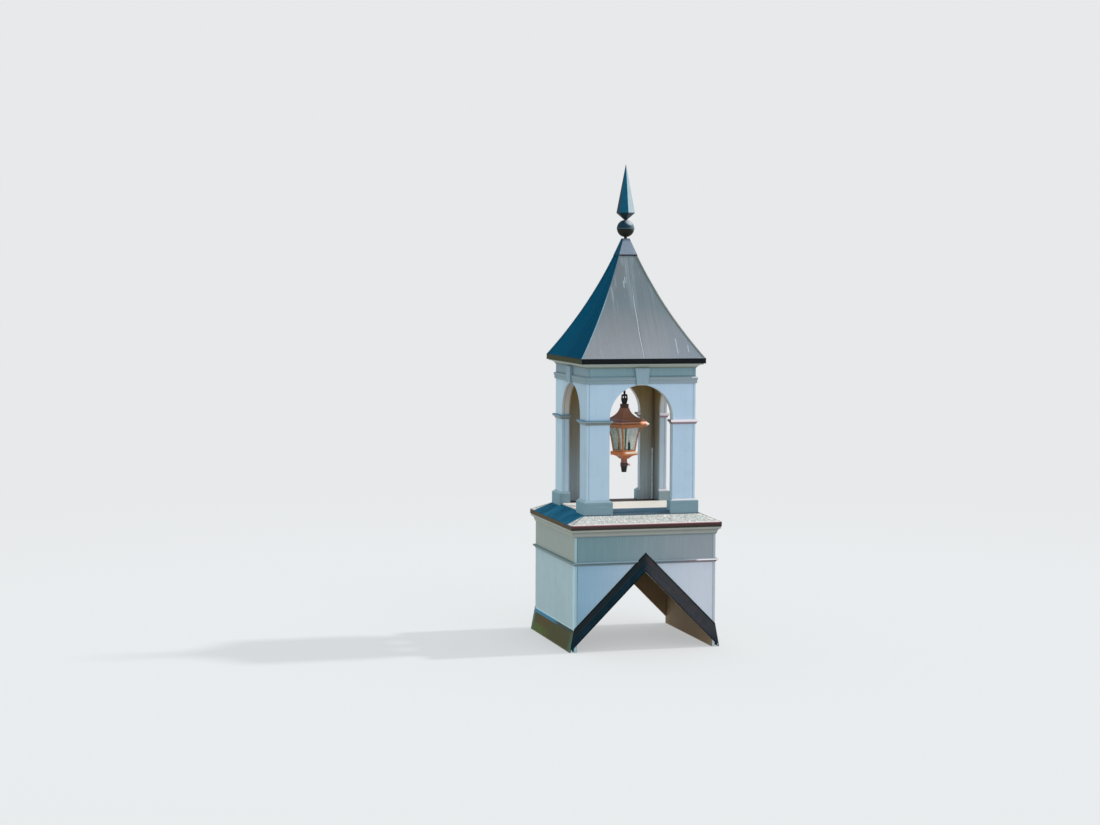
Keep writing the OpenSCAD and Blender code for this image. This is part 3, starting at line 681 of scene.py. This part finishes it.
@finish(0.3, Metallic=0.4)
def lamp_copper_bright(f, x, y, z):
    """The lamp's bars, browner and duller where they are aged."""
    cloudy = f.cloud(24)
    fine = f.cloud(160, 3)
    streaks = f.cloud((120, 120, 10))
    age = (cloudy * 0.7 + streaks * 0.4).rise(0.35, 0.8) * 0.85 + 0.15
    colour = f.blend(age, (212, 142, 98), (164, 100, 60))
    f.made(colour, 0.3 + cloudy * 0.16 + age * 0.12, fine * 0.4 + cloudy, 0.0004)


@finish(0.2, Metallic=0.15)
def hat_copper(f, x, y, z):
    """The lamp's hat: dark at its collar, mauve brown below."""
    cloudy = f.cloud(30)
    streaks = f.cloud((130, 130, 12))
    body = f.coats(
        f.blend(cloudy, (188, 132, 104), (158, 114, 100)),
        (streaks.rise(0.55, 0.75) * 0.35, (196, 146, 122)),
        (z.rise(1590, 1545) * x.rise(-10, -110) * 0.6, (148, 126, 150)),
        (z.rise(1554, 1550) * 0.8, f.blend(x.rise(-60, 0), (92, 76, 92), (104, 72, 60))),
        (z.rise(1632, 1638) * 0.85, (78, 62, 52)))
    f.made(body, 0.42 + cloudy * 0.2, streaks * 0.4 + cloudy, 0.0005)


def lit_copper(name, low, high, edge_z, glint, reach):
    """Warm copper with a painted rosy highlight along its top edge and a painted glint at its right-hand
    corner.
    """
    f = Finish(name, 0.3, Metallic=0.35)
    x, y, z = f.xyz
    cloudy = f.cloud(24)
    streaks = f.cloud((120, 120, 10))
    # Painted glint at the right-hand corner, which is also made less metallic so it reads white.
    painted_glint = x.rise(reach - 12, reach) * z.rise(edge_z - 32, edge_z - 20)
    body = f.coats(
        f.blend(cloudy * 0.7 + streaks * 0.3, low, high),
        # Painted highlight: a rosy line along the top edge.
        (z.rise(edge_z - 11, edge_z - 5) * 0.75, (232, 178, 156)),
        (abs(z - edge_z + 15).rise(3.5, 1) * 0.5, (110, 62, 42)),
        (painted_glint * glint, (255, 236, 226)))
    f.wears("Metallic", 0.4 - painted_glint * 0.35)
    return f.made(body, 0.34 + cloudy * 0.18, streaks * 0.3 + cloudy, 0.0004)


@finish(0.3)
def cup_copper(f, x, y, z):
    """The lamp's orange plate and bell and its rosy brown neck, with a painted glint on the plate's top edge
    at the right.
    """
    cloudy = f.cloud(26)
    streaks = f.cloud((120, 120, 14))
    # Painted glint on the plate's top edge at the right, made less metallic so it reads pale.
    top = z.rise(1310, 1317) * x.rise(-30, 4)
    body = f.coats(
        f.blend(cloudy * 0.7 + streaks * 0.3, (220, 134, 82), (182, 108, 66)),
        (z.rise(1300, 1290) * 0.5, (176, 108, 78)),
        (z.rise(1277, 1273) * 0.8, (150, 98, 84)),
        (top, (255, 228, 206)))
    f.wears("Metallic", 0.35 - top * 0.3)
    f.made(body, 0.36 + cloudy * 0.18, streaks * 0.3 + cloudy, 0.0004)


rim_copper = lit_copper(
    "rim_copper", (194, 124, 80), (176, 112, 70), edge_z=1540.8, glint=0.95, reach=146)
tap_copper = lit_copper(
    "tap_copper", (250, 206, 174), (228, 174, 140), edge_z=1252, glint=1, reach=40)


@finish(0.3, Roughness=0.08, IOR=1.45)
def lamp_glass(f, x, y, z):
    """Old glass: grey green on the left, paler on the right, with soft upright runs."""
    turned = x * math.cos(LAMP_TURN) + y * math.sin(LAMP_TURN)
    clouds = f.cloud(1, 2, 0.5, at=f.joined(turned / 24, z / 260, 0))
    dust = f.cloud(30, 3, 0.5)
    depth = y * math.cos(LAMP_TURN) - x * math.sin(LAMP_TURN)
    right = x.rise(-24, 0)
    front = (-depth - abs(turned)).rise(-4, 4)
    left = (-turned - abs(depth)).rise(-4, 4)
    clear = clouds.rise(0.4, 0.62)
    shade = f.blend(clouds.rise(0.36, 0.66), (100, 136, 112), (148, 184, 158))
    light = f.blend(clear, (70, 128, 116), (206, 220, 198))
    thick = 0.4 + clouds.rise(0.7, 0.4) * 0.08 + dust * 0.04 - right * 0.12
    f.wears("Alpha", thick - left * 0.22 - front * (0.28 - clear * 0.08))
    f.made(f.blend(right, shade, light), None, clouds, 0.0001)


@finish(0.35)
def black_iron(f, x, y, z):
    """Black painted iron, purple brown at the gas valve's collar."""
    cloudy = f.cloud(40)
    fine = f.cloud(320, 3)
    collar = z.rise(1221, 1223) * z.rise(1249, 1247)
    body = f.blend(cloudy, (18, 18, 20), (42, 38, 36))
    body = f.blend(collar, body, f.blend(cloudy, (58, 42, 46), (84, 66, 70)))
    f.made(body, 0.4 + cloudy * 0.2, fine + cloudy * 0.5, 0.0004)


@finish(0.1, Roughness=0.6)
def sleeve_paint(f, x, y, z):
    """The dark blue sleeves that stand for candles."""
    cloudy = f.cloud(60, 3)
    f.made(f.blend(cloudy, (18, 20, 34), (32, 32, 46)), None, cloudy, 0.0002)


@finish(0.5, Roughness=0.3)
def candle_bulb(f, x, y, z):
    """Pale bulbs above the sleeves."""
    cloudy = f.cloud(60, 3)
    f.made(f.blend(cloudy, (236, 226, 206), (218, 206, 186)), None, cloudy, 0.0003)


@finish(0.3)
def pipe_paint(f, x, y, z):
    """The corner pipe: white below, with painted shade in brown above."""
    cloudy = f.cloud(50)
    edge = z + (cloudy - 0.5) * 14
    # Painted shade: the pipe turns brown above a wavy line.
    colour = f.blend(edge.rise(1318, 1322), (206, 208, 204), (140, 112, 84))
    colour = f.blend(cloudy.rise(0.4, 0.8) * 0.4, colour, (112, 100, 84))
    f.made(colour, 0.45 + cloudy * 0.2, cloudy, 0.0004)


# Shapes


def new_object(name, data):
    made = bpy.data.objects.new(name, data)
    bpy.context.scene.collection.objects.link(made)
    return made


def finished(name, shape):
    """A new object from a bmesh, which is then freed."""
    mesh = bpy.data.meshes.new(name)
    shape.to_mesh(mesh)
    shape.free()
    return new_object(name, mesh)


def settled(obj):
    """Makes what the modifiers show the piece's own mesh."""
    graph = bpy.context.evaluated_depsgraph_get()
    mesh = bpy.data.meshes.new_from_object(obj.evaluated_get(graph))
    obj.modifiers.clear()
    obj.data = mesh
    return obj


def smoothed(obj, angle):
    obj.data.polygons.foreach_set("use_smooth", [True] * len(obj.data.polygons))
    obj.data.set_sharp_from_angle(angle=math.radians(angle))
    return obj


def dressed(obj, look, slot, *nodes):
    """Gives a piece its finish and body, and hides the plain nodes that it stands for."""
    obj.data.materials.clear()
    obj.data.materials.append(look.material)
    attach(obj, BODY)
    if nodes:
        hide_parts(*nodes)


def copied(name, node):
    """A merged copy of a CAD node, with its flat faces whole again."""
    shape = bmesh.new()
    shape.from_mesh(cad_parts[node].data)
    bmesh.ops.remove_doubles(shape, verts=shape.verts, dist=4e-6)
    bmesh.ops.dissolve_limit(
        shape, angle_limit=math.radians(0.3), verts=shape.verts[:], edges=shape.edges[:])
    return finished(name, shape)


def grooved(obj, grooves):
    """Cuts joint grooves into a piece, each a block given by its two corners."""
    shape = bmesh.new()
    for low, high in grooves:
        size = Vector(high) - Vector(low)
        spot = (Vector(high) + Vector(low)) / 2
        bmesh.ops.create_cube(shape, size=1, matrix=Matrix.LocRotScale(spot, None, size))
    cutter = finished("cutter", shape)
    cut = obj.modifiers.new("joint", "BOOLEAN")
    cut.operation = "DIFFERENCE"
    cut.solver = "EXACT"
    cut.object = cutter
    settled(obj)
    bpy.data.objects.remove(cutter)


def softened(obj, width, angle=28):
    """Rounds the hard edges a little, as paint does. The width is in millimetres."""
    bevel = obj.modifiers.new("edge", "BEVEL")
    bevel.width = width * MM
    bevel.segments = 2
    bevel.limit_method = "ANGLE"
    bevel.angle_limit = math.radians(angle)
    smoothed(settled(obj), 50)
    even = obj.modifiers.new("even", "WEIGHTED_NORMAL")
    even.weight = 90
    even.keep_sharp = True
    return settled(obj)


def clad(name, node, look, slot, width, grooves=(), angle=28):
    """Puts a softened copy of a CAD node, in its finish, in that node's place."""
    piece = copied(name, node)
    if grooves:
        grooved(piece, grooves)
    dressed(softened(piece, width, angle), look, slot, node)


def swept(name, half, z, profile):
    """Sweeps an outline of (out, up) points round a square, with mitred corners."""
    shape = bmesh.new()
    rings = [[shape.verts.new((sx * (half + out), sy * (half + out), z + up)) for out, up in profile]
             for sx, sy in CORNERS]
    count = len(profile)
    for near, far in zip(rings, rings[1:] + rings[:1]):
        for i in range(count):
            j = (i + 1) % count
            shape.faces.new([near[i], near[j], far[j], far[i]])
    bmesh.ops.recalc_face_normals(shape, faces=shape.faces)
    return finished(name, shape)


def arc(radius, degrees, out=0, up=0):
    """Points round a centre, for an outline."""
    return [(out + radius * math.cos(a), up + radius * math.sin(a)) for a in map(math.radians, degrees)]


def turned_shape(name, outline, centres, sides=24):
    """Turned shapes from an outline of (radius, height) points that starts and ends at the middle."""
    shape = bmesh.new()
    for centre in centres:
        rings = []
        for radius, height in outline:
            if radius == 0:
                rings.append([shape.verts.new(Vector(centre) + Vector((0, 0, height)))] * sides)
            else:
                rings.append([shape.verts.new(Vector(centre) + Vector((x, y, height)))
                              for x, y in arc(radius, [360 * i / sides for i in range(sides)])])
        for low, high in zip(rings, rings[1:]):
            for i in range(sides):
                j = (i + 1) % sides
                shape.faces.new(list(dict.fromkeys((low[i], low[j], high[j], high[i]))))
    bmesh.ops.recalc_face_normals(shape, faces=shape.faces)
    return finished(name, shape)


def outward(obj):
    """Merges the doubles of a closed mesh and points its faces out."""
    shape = bmesh.new()
    shape.from_mesh(obj.data)
    bmesh.ops.remove_doubles(shape, verts=shape.verts, dist=1e-6)
    bmesh.ops.recalc_face_normals(shape, faces=shape.faces)
    shape.to_mesh(obj.data)
    shape.free()
    return obj


# Geometry Nodes


class Pattern(Maker):
    """A Geometry Nodes tree with named inputs, which sets its own finish."""

    def __init__(self, name, **sizes):
        super().__init__(bpy.data.node_groups.new(name, "GeometryNodeTree"))
        face = self.tree.interface
        face.new_socket("Geometry", in_out="INPUT", socket_type="NodeSocketGeometry")
        for label, value in sizes.items():
            kind = "NodeSocketInt" if isinstance(value, int) else "NodeSocketFloat"
            face.new_socket(label, in_out="INPUT", socket_type=kind).default_value = value
        face.new_socket("finish", in_out="INPUT", socket_type="NodeSocketMaterial")
        face.new_socket("Geometry", in_out="OUTPUT", socket_type="NodeSocketGeometry")
        self.entry = self.tree.nodes.new("NodeGroupInput")
        self.exit = self.tree.nodes.new("NodeGroupOutput")

    def size(self, label):
        return Signal(self, self.entry.outputs[label])

    def together(self, *geometries):
        group = self.tree.nodes.new("GeometryNodeJoinGeometry")
        for geometry in geometries:
            self.tree.links.new(geometry.socket, group.inputs[0])
        return Signal(self, group.outputs[0])

    def ends_with(self, geometry):
        whole = self.node("GeometryNodeRealizeInstances", [geometry])
        made = self.node("GeometryNodeSetMaterial", {"Geometry": whole, "Material": self.size("finish")})
        self.tree.links.new(made.socket, self.exit.inputs[0])
        return self

    def strewn(self, points, piece):
        """Ends with one piece on each point."""
        return self.ends_with(
            self.node("GeometryNodeInstanceOnPoints", {"Points": points, "Instance": piece}))

    def grow(self, name, look, mesh=None, **sizes):
        """Runs the tree on a mesh and keeps the result as a plain object."""
        obj = new_object(name, mesh or bpy.data.meshes.new(name))
        growth = obj.modifiers.new("growth", "NODES")
        growth.node_group = self.tree
        values = dict(sizes, finish=look.material)
        for item in self.tree.interface.items_tree:
            if item.in_out == "INPUT" and item.name in values:
                growth[item.identifier] = values[item.name]
        return settled(obj)


def bell_roof_pattern():
    """Four sheets of a bell-cast roof, each on an arc from eave to neck, a little wavy."""
    p = Pattern("bell_roof", eave_half=0.4, neck_half=0.06, foot=0.0, rise=0.7, sag=0.02, wave=0.001, seed=3)
    grid = p.node("GeometryNodeMeshGrid", {"Size X": 2, "Size Y": 1, "Vertices X": 49, "Vertices Y": 65})
    gx, gy, gz = p.parts(p.node("GeometryNodeInputPosition"))
    climb = gy + 0.5
    eave, neck, foot, rise, sag = map(p.size, ("eave_half", "neck_half", "foot", "rise", "sag"))
    fall = neck - eave
    chord = (fall * fall + rise * rise).root()
    radius = chord * chord / (8 * sag) + sag / 2
    turn = (chord / 2 / radius).arcsine() * (2 * climb - 1)
    ax, az = fall / chord, rise / chord
    along = radius * turn.sine()
    dip = radius * turn.cosine() - radius + sag
    half = (eave + neck) / 2 + ax * along - az * dip
    z = foot + rise / 2 + az * along + ax * dip
    ripple = p.node("ShaderNodeTexNoise", {
        "Vector": p.joined(gx * half * 6, 0, z * 3), "W": p.size("seed"), "Scale": 1, "Detail": 2}, "Fac",
        noise_dimensions="4D")
    inside = (1 - abs(gx)).rise(0, 0.25) * climb.rise(0, 0.08) * climb.rise(1, 0.9)
    out = half + (ripple - 0.5) * p.size("wave") * inside
    sheet = p.node("GeometryNodeSetPosition", {"Geometry": grid, "Position": p.joined(gx * half, -out, z)})
    sides = [p.node("GeometryNodeTransform", {"Geometry": sheet, "Rotation": (0, 0, math.pi / 2 * quarter)})
             for quarter in range(4)]
    return p.ends_with(
        p.node("GeometryNodeMergeByDistance", {"Geometry": p.together(*sides), "Distance": 1e-4}))


def bead_pattern():
    """A round bead along every path, for seams, hems and pipes."""
    p = Pattern("bead", radius=0.002, sides=10)
    path = p.node("GeometryNodeMeshToCurve", [p.size("Geometry")])
    ring = p.node("GeometryNodeCurvePrimitiveCircle", {
        "Resolution": p.size("sides"), "Radius": p.size("radius")})
    return p.ends_with(
        p.node("GeometryNodeCurveToMesh", {"Curve": path, "Profile Curve": ring, "Fill Caps": True}))


def board_row_pattern():
    """A row of boards side by side along X, with a gap between them."""
    p = Pattern("board_row", count=8, pitch=0.1, gap=0.003, length=0.8, depth=0.012, height=0.0)
    count, pitch = p.size("count"), p.size("pitch")
    board = p.node("GeometryNodeMeshCube", {
        "Size": p.joined(pitch - p.size("gap"), p.size("length"), p.size("depth"))})
    row = p.node("GeometryNodeMeshLine", {
        "Count": count, "Start Location": p.joined((1 - count) * pitch / 2, 0, p.size("height")),
        "Offset": p.joined(pitch, 0, 0)}, mode="OFFSET")
    return p.strewn(row, board)


def stud_ring_pattern():
    """Upright studs in a ring, as round the vent of a lamp's collar."""
    p = Pattern("stud_ring", count=12, ring=0.03, width=0.005, tall=0.01, height=0.0)
    stud = p.node("GeometryNodeMeshCylinder", {
        "Vertices": 8, "Radius": p.size("width") / 2, "Depth": p.size("tall")}, fill_type="NGON")
    ring = p.node("GeometryNodeMeshCircle", {"Vertices": p.size("count"), "Radius": p.size("ring")})
    lifted = p.node("GeometryNodeTransform", {
        "Geometry": ring, "Translation": p.joined(0, 0, p.size("height"))})
    return p.strewn(lifted, stud)


def clip_pattern():
    """Round clips one above another on an upright pipe."""
    p = Pattern("clip_row", count=3, pitch=0.25, radius=0.008, tall=0.012, start_x=0.0, start_y=0.0,
                start_z=0.0)
    clip = p.node("GeometryNodeMeshCylinder", {
        "Vertices": 20, "Radius": p.size("radius"), "Depth": p.size("tall")}, fill_type="NGON")
    line = p.node("GeometryNodeMeshLine", {
        "Count": p.size("count"), "Offset": p.joined(0, 0, p.size("pitch")),
        "Start Location": p.joined(p.size("start_x"), p.size("start_y"), p.size("start_z"))}, mode="OFFSET")
    return p.strewn(line, clip)


BEAD = bead_pattern()


def beaded(name, radius, look, slot, lines, sides=10):
    """Round beads along lines of points. The radius is in millimetres."""
    points, edges = [], []
    for line in lines:
        edges += [(len(points) + i, len(points) + i + 1) for i in range(len(line) - 1)]
        points += line
    path = bpy.data.meshes.new("path")
    path.from_pydata(points, edges, [])
    bead = BEAD.grow(name, look, path, radius=radius * MM, sides=sides)
    dressed(smoothed(outward(bead), 50), look, slot)


# Sizes read from the frame

BASE_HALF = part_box("base_wall_right")[1].x
LANTERN_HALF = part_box("arch_head_front")[1].x
INNER_HALF = -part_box("arch_head_front")[1].y
SKIRT_HALF, SKIRT_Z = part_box("skirt_drip_edge")[1].x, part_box("skirt_drip_edge")[0].z
SKIRT_EAVE_Z, SKIRT_TOP_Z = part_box("skirt_drip_edge")[1].z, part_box("skirt_roof")[1].z
ROOF_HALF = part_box("main_roof")[1].x
DRIP_HALF, EAVE_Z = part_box("roof_drip_edge")[1].x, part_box("roof_drip_edge")[0].z
ROOF_Z, CAP_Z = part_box("roof_drip_edge")[1].z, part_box("roof_cap")[0].z
FLOOR_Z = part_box("lantern_floor")[1].z
FLASHING_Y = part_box("rake_flashing_front")[0].y
APRON_HALF, APRON_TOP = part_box("apron_flashing_right")[1].x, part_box("apron_flashing_right")[1].z
FOLD_Z = 612 * MM
ROOF_NECK = 62 * MM
ROOF_SAG = 25 * MM
SHEET = 2 * MM
SEAM_IN = 17 * MM
CORNERS = ((-1, -1), (1, -1), (1, 1), (-1, 1))
SIDES = ("front", "back", "left", "right")


def roof_point(climb):
    """Half width and height of the roof at a share of the way from eave to cap."""
    fall, rise = ROOF_NECK - ROOF_HALF, CAP_Z - ROOF_Z
    chord = math.hypot(fall, rise)
    radius = chord * chord / (8 * ROOF_SAG) + ROOF_SAG / 2
    turn = math.asin(chord / 2 / radius) * (2 * climb - 1)
    ax, az = fall / chord, rise / chord
    along, dip = radius * math.sin(turn), radius * math.cos(turn) - radius + ROOF_SAG
    return (ROOF_HALF + ROOF_NECK) / 2 + ax * along - az * dip, (ROOF_Z + CAP_Z) / 2 + az * along + ax * dip


def on_corners(*stations):
    """One line of points for each corner, from stations of (half width, height)."""
    return [[(sx * half, sy * half, z) for half, z in stations] for sx, sy in CORNERS]


# The cupola, from the foot up


def build_base():
    for side in SIDES:
        clad("base_boards_" + side, "base_wall_" + side, base_paint, "white_paint", 1.6)
    clad("band_of_the_base", "band_moulding", band_paint, "white_trim", 1)
    clad("crown_of_the_base", "crown_moulding", crown_paint, "white_trim", 1)


def build_flashing():
    for side in ("front", "back"):
        clad("saddle_flashing_" + side, "rake_flashing_" + side, flashing_copper, "dark_copper", 0.5)
    for side in ("left", "right"):
        clad("apron_" + side, "apron_flashing_" + side, apron_copper, "dark_copper", 0.5)
    proud = FLASHING_Y + 1.6 * MM
    folds = [[(-BASE_HALF, y, FOLD_Z - BASE_HALF), (0, y, FOLD_Z), (BASE_HALF, y, FOLD_Z - BASE_HALF)]
             for y in (proud, -proud)]
    beaded("flashing_folds", 1.5, flashing_copper, "dark_copper", folds, 8)
    foot, knee, head = 4 * MM, APRON_TOP - 24 * MM, APRON_TOP - 2 * MM
    hems = []
    for sx in (-1, 1):
        out, lap = sx * (APRON_HALF - 1.4 * MM), sx * (BASE_HALF + 3 * MM)
        hems.append([(out, -BASE_HALF + 3 * MM, foot), (out, BASE_HALF - 3 * MM, foot)])
        for y in (2 * MM - BASE_HALF, BASE_HALF - 2 * MM):
            hems.append([(out, y, foot), (lap, y, knee), (lap, y, head)])
    beaded("apron_hems", 2.2, hem_copper, "dark_copper", hems)
    tabs = [[(sx * 531 * MM, sy * 510.5 * MM, 6 * MM), (sx * 529 * MM, sy * 510.5 * MM, 22 * MM)]
            for sx, sy in CORNERS]
    beaded("foot_tabs", 3.4, hem_copper, "dark_copper", tabs)


def drip_edge(name, half, low, high, depth, look, node):
    """A fascia of folded sheet with a rolled hem and a thin fold under the roof sheet."""
    tall = high - low
    hem = 2.4 * MM
    face = -1.2 * MM
    profile = [(face, tall - 3 * MM), (0, tall - 2 * MM), (0, tall), (-depth, tall), (-depth, 3 * hem),
               (-2 * hem, 2 * hem), *arc(hem, (-180, -140, -105, -70, -35, 0, 35, 60), -hem, hem),
               (face, 2.1 * hem)]
    dressed(smoothed(swept(name, half, low, profile), 40), look, "dark_copper", node)


def build_skirt():
    clad("skirt_sheets", "skirt_roof", skirt_copper, "skirt_copper", 0.6)
    clad("lantern_floor_sheet", "lantern_floor", floor_copper, "skirt_copper", 1.2)
    drip_edge("skirt_edge", SKIRT_HALF, SKIRT_Z, SKIRT_EAVE_Z, 3 * MM, skirt_edge_copper, "skirt_drip_edge")
    hips = on_corners(
        (SKIRT_HALF - 3 * MM, SKIRT_EAVE_Z + 0.5 * MM), (LANTERN_HALF + 2 * MM, SKIRT_TOP_Z - 1.5 * MM))
    beaded("skirt_hips", 2.4, seam_copper, "skirt_copper", hips)


def build_lantern():
    side, deep = 1.8 * MM, 2.5 * MM
    seams = [((sx * (LANTERN_HALF - SEAM_IN) - side, sy * LANTERN_HALF - deep, FLOOR_Z - 0.1),
              (sx * (LANTERN_HALF - SEAM_IN) + side, sy * LANTERN_HALF + deep, EAVE_Z + 0.1))
             for sx, sy in CORNERS]
    for corner in ("front_left", "front_right", "back_left", "back_right"):
        clad("pier_boards_" + corner, "pier_" + corner, lantern_paint, "white_paint", 1, seams)
    for side in SIDES:
        cuts = seams if side in ("front", "back") else ()
        clad("arch_boards_" + side, "arch_head_" + side, lantern_paint, "white_paint", 0.8, cuts)
    clad("plinths", "plinth_blocks", plinth_paint, "white_trim", 1.2)
    clad("imposts", "impost_mouldings", impost_paint, "white_trim", 0.8)
    clad("key_blocks", "keystones", keystone_paint, "white_trim", 1.6)
    clad("architrave_boards", "architrave", architrave_paint, "white_trim", 0.8)
    clad("bed_mould", "bed_moulding", bed_mould_paint, "white_trim", 0.8)


def build_ceiling():
    low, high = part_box("ceiling_board")
    width = high.x - low.x
    boards = board_row_pattern().grow(
        "ceiling_boards", ceiling_paint, count=10, pitch=width / 10, gap=2.5 * MM, length=width,
        depth=high.z - low.z, height=(low.z + high.z) / 2)
    dressed(softened(outward(boards), 1.2), ceiling_paint, "white_paint", "ceiling_board")


def build_corner_pipe():
    x, y = 317 * MM, INNER_HALF - 8 * MM
    beaded("corner_pipe", 5, pipe_paint, "white_trim", [[(x, y, FLOOR_Z), (x, y, EAVE_Z)]], 16)
    clips = clip_pattern().grow(
        "pipe_clips", pipe_paint, count=4, pitch=250 * MM, radius=7.5 * MM, tall=12 * MM, start_x=x,
        start_y=y, start_z=FLOOR_Z + 110 * MM)
    dressed(softened(outward(clips), 0.8), pipe_paint, "white_trim")


def build_roof():
    roof = bell_roof_pattern().grow(
        "roof_sheets", roof_copper, eave_half=ROOF_HALF, neck_half=ROOF_NECK, foot=ROOF_Z,
        rise=CAP_Z - ROOF_Z, sag=ROOF_SAG, wave=1.6 * MM, seed=3)
    thick = roof.modifiers.new("sheet", "SOLIDIFY")
    thick.thickness = SHEET
    thick.offset = -1
    dressed(smoothed(settled(roof), 40), roof_copper, "roof_copper", "main_roof")
    depth = DRIP_HALF - ROOF_HALF + SHEET
    drip_edge("eave_edge", DRIP_HALF, EAVE_Z, ROOF_Z, depth, eave_copper, "roof_drip_edge")
    hem = swept("roof_hem", ROOF_HALF + 0.6 * MM, ROOF_Z + 1.7 * MM, arc(2.4 * MM, range(0, 360, 36)))
    dressed(smoothed(hem, 50), seam_copper, "roof_copper")
    stations = [roof_point(i / 40) for i in range(41)]
    hips = on_corners(*((half + 1.5 * MM, z) for half, z in stations))
    beaded("roof_hips", 4.2, seam_copper, "roof_copper", hips, 12)
    seams = []
    for quarter in range(4):
        turn = Matrix.Rotation(math.pi / 2 * quarter, 3, "Z")
        seams.append([turn @ Vector((1.1 * MM * math.sin(0.5 * i), 0.8 * MM - half, z))
                      for i, (half, z) in enumerate(stations)])
    beaded("roof_seams", 3.2, seam_copper, "roof_copper", seams, 12)
    clad("peak_cap", "roof_cap", cap_copper, "roof_copper", 1.6)
    for name, node, width in (
            ("finial_stem", "finial_neck", 1), ("ball", "finial_ball", 0.6), ("spear", "finial_spear", 1.2)):
        clad(name, node, finial_copper, "finial_copper", width, angle=20)


def build_lamp():
    clad("lamp_hat_copper", "lamp_hat", hat_copper, "lamp_copper", 0.8)
    clad("lamp_rim_copper", "lamp_rim", rim_copper, "lamp_copper", 1.2)
    clad("lamp_bars", "lamp_frame", lamp_copper_bright, "lamp_copper", 0.8)
    clad("lamp_plate_and_cup", "lamp_cup", cup_copper, "lamp_copper", 1.2)
    clad("lamp_panes", "lamp_glass", lamp_glass, "lamp_glass", 0.4)
    clad("lamp_hanger", "lamp_yoke", black_iron, "black_iron", 1.2)
    clad("lamp_stem", "lamp_rod", black_iron, "black_iron", 0.6)
    clad("candle_sleeves", "lamp_candles", sleeve_paint, "black_iron", 0.8)
    clad("gas_valve", "lamp_valve", black_iron, "black_iron", 1)
    studs = stud_ring_pattern().grow(
        "collar_studs", black_iron, count=12, ring=29 * MM, width=5 * MM, tall=13 * MM,
        height=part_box("lamp_hat")[1].z - 13 * MM)
    dressed(softened(outward(studs), 0.6), black_iron, "black_iron")
    across = Matrix.Rotation(LAMP_TURN - math.pi / 4, 3, "Z")
    candle_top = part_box("lamp_candles")[1].z
    bulb = [(0, 0), (4, 0), (5.5, 3), (7, 9), (6.4, 15), (4, 22), (1.6, 28), (0, 31)]
    bulbs = turned_shape(
        "candle_bulbs", [(r * MM, h * MM) for r, h in bulb],
        [across @ Vector((side * 35 * MM, 0, candle_top)) for side in (-1, 1)])
    dressed(smoothed(bulbs, 50), candle_bulb, "lamp_glass")
    tap = across @ Vector((38 * MM, 0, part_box("lamp_cup")[0].z - 13 * MM))
    knob = [(0, -10.5), (6, -9), (9.6, -3), (9.6, 3), (6, 9), (0, 10.5)]
    knob = turned_shape("tap_knob", [(r * MM, h * MM) for r, h in knob], [tap])
    dressed(smoothed(knob, 40), tap_copper, "lamp_copper")


# Floor, light and camera

BLACK = (0, 0, 0, 1)
PALE = (0.80, 0.815, 0.83, 1)


def seen_directly(tree):
    """1 for what the camera sees itself, in a mirror or through glass."""
    path = tree.node("ShaderNodeLightPath", (), "Is Camera Ray")
    return path.most(path.other("Is Glossy Ray")).most(path.other("Is Transmission Ray"))


def sun(name, source, strength, spread, colour):
    lamp = bpy.data.lights.new(name, "SUN")
    lamp.energy = strength
    lamp.angle = math.radians(spread)
    lamp.color = colour
    new_object(name, lamp).rotation_euler = Vector(source).to_track_quat("Z", "Y").to_euler()


def studio():
    shape = bmesh.new()
    bmesh.ops.create_circle(shape, cap_ends=True, radius=90, segments=96)
    floor = finished("studio_floor", shape)
    f = Finish("studio_floor", 0, Roughness=0.9, Emission_Strength=1)
    x, y, z = f.parts(f.place)
    far = (x * x + y * y).root().rise(3, 11)
    f.wears("Base Color", f.blend(far * seen_directly(f), (0.30, 0.305, 0.31, 1), BLACK))
    lift = f.blend(far, (0.42, 0.425, 0.43, 1), PALE)
    f.wears("Emission Color", f.blend(seen_directly(f), BLACK, lift))
    floor.data.materials.append(f.material)

    world = bpy.data.worlds.new("studio")
    bpy.context.scene.world = world
    world.use_nodes = True
    w = Maker(world.node_tree)
    colour = w.blend(seen_directly(w), (0.82, 0.87, 0.91, 1), PALE)
    w.tree.links.new(colour.socket, w.tree.nodes["Background"].inputs["Color"])
    sun("key_light", (0.747, -0.02, 0.66), 2.2, 4, (1, 0.96, 0.9))
    sun("fill_light", (0.1, -0.93, 0.36), 0.6, 60, (0.9, 0.96, 1))


def camera():
    """The photo's view, worked out from the cupola's own edges and corners."""
    place = (-4.5406, -14.3788, 2.6488)
    yaw, pitch, roll = (math.radians(a) for a in (-15.53, -3.98, 0.24))
    lens = bpy.data.cameras.new("camera")
    lens.sensor_width = 36
    lens.lens = 70
    lens.clip_end = 500
    view = new_object("camera", lens)
    ahead = Vector((-math.sin(yaw) * math.cos(pitch), math.cos(yaw) * math.cos(pitch), math.sin(pitch)))
    right = Vector((math.cos(yaw), math.sin(yaw), 0))
    up = right.cross(ahead)
    across = right * math.cos(roll) + up * math.sin(roll)
    above = up * math.cos(roll) - right * math.sin(roll)
    view.matrix_world = Matrix.Translation(place) @ Matrix((across, above, -ahead)).transposed().to_4x4()
    bpy.context.scene.camera = view


for deck in ("skirt_deck", "roof_deck"):
    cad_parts[deck].data.materials.clear()
    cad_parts[deck].data.materials.append(bare_timber.material)
build_base()
build_flashing()
build_skirt()
build_lantern()
build_ceiling()
build_corner_pipe()
build_roof()
build_lamp()
studio()
camera()
bpy.context.scene.view_settings.view_transform = "Standard"
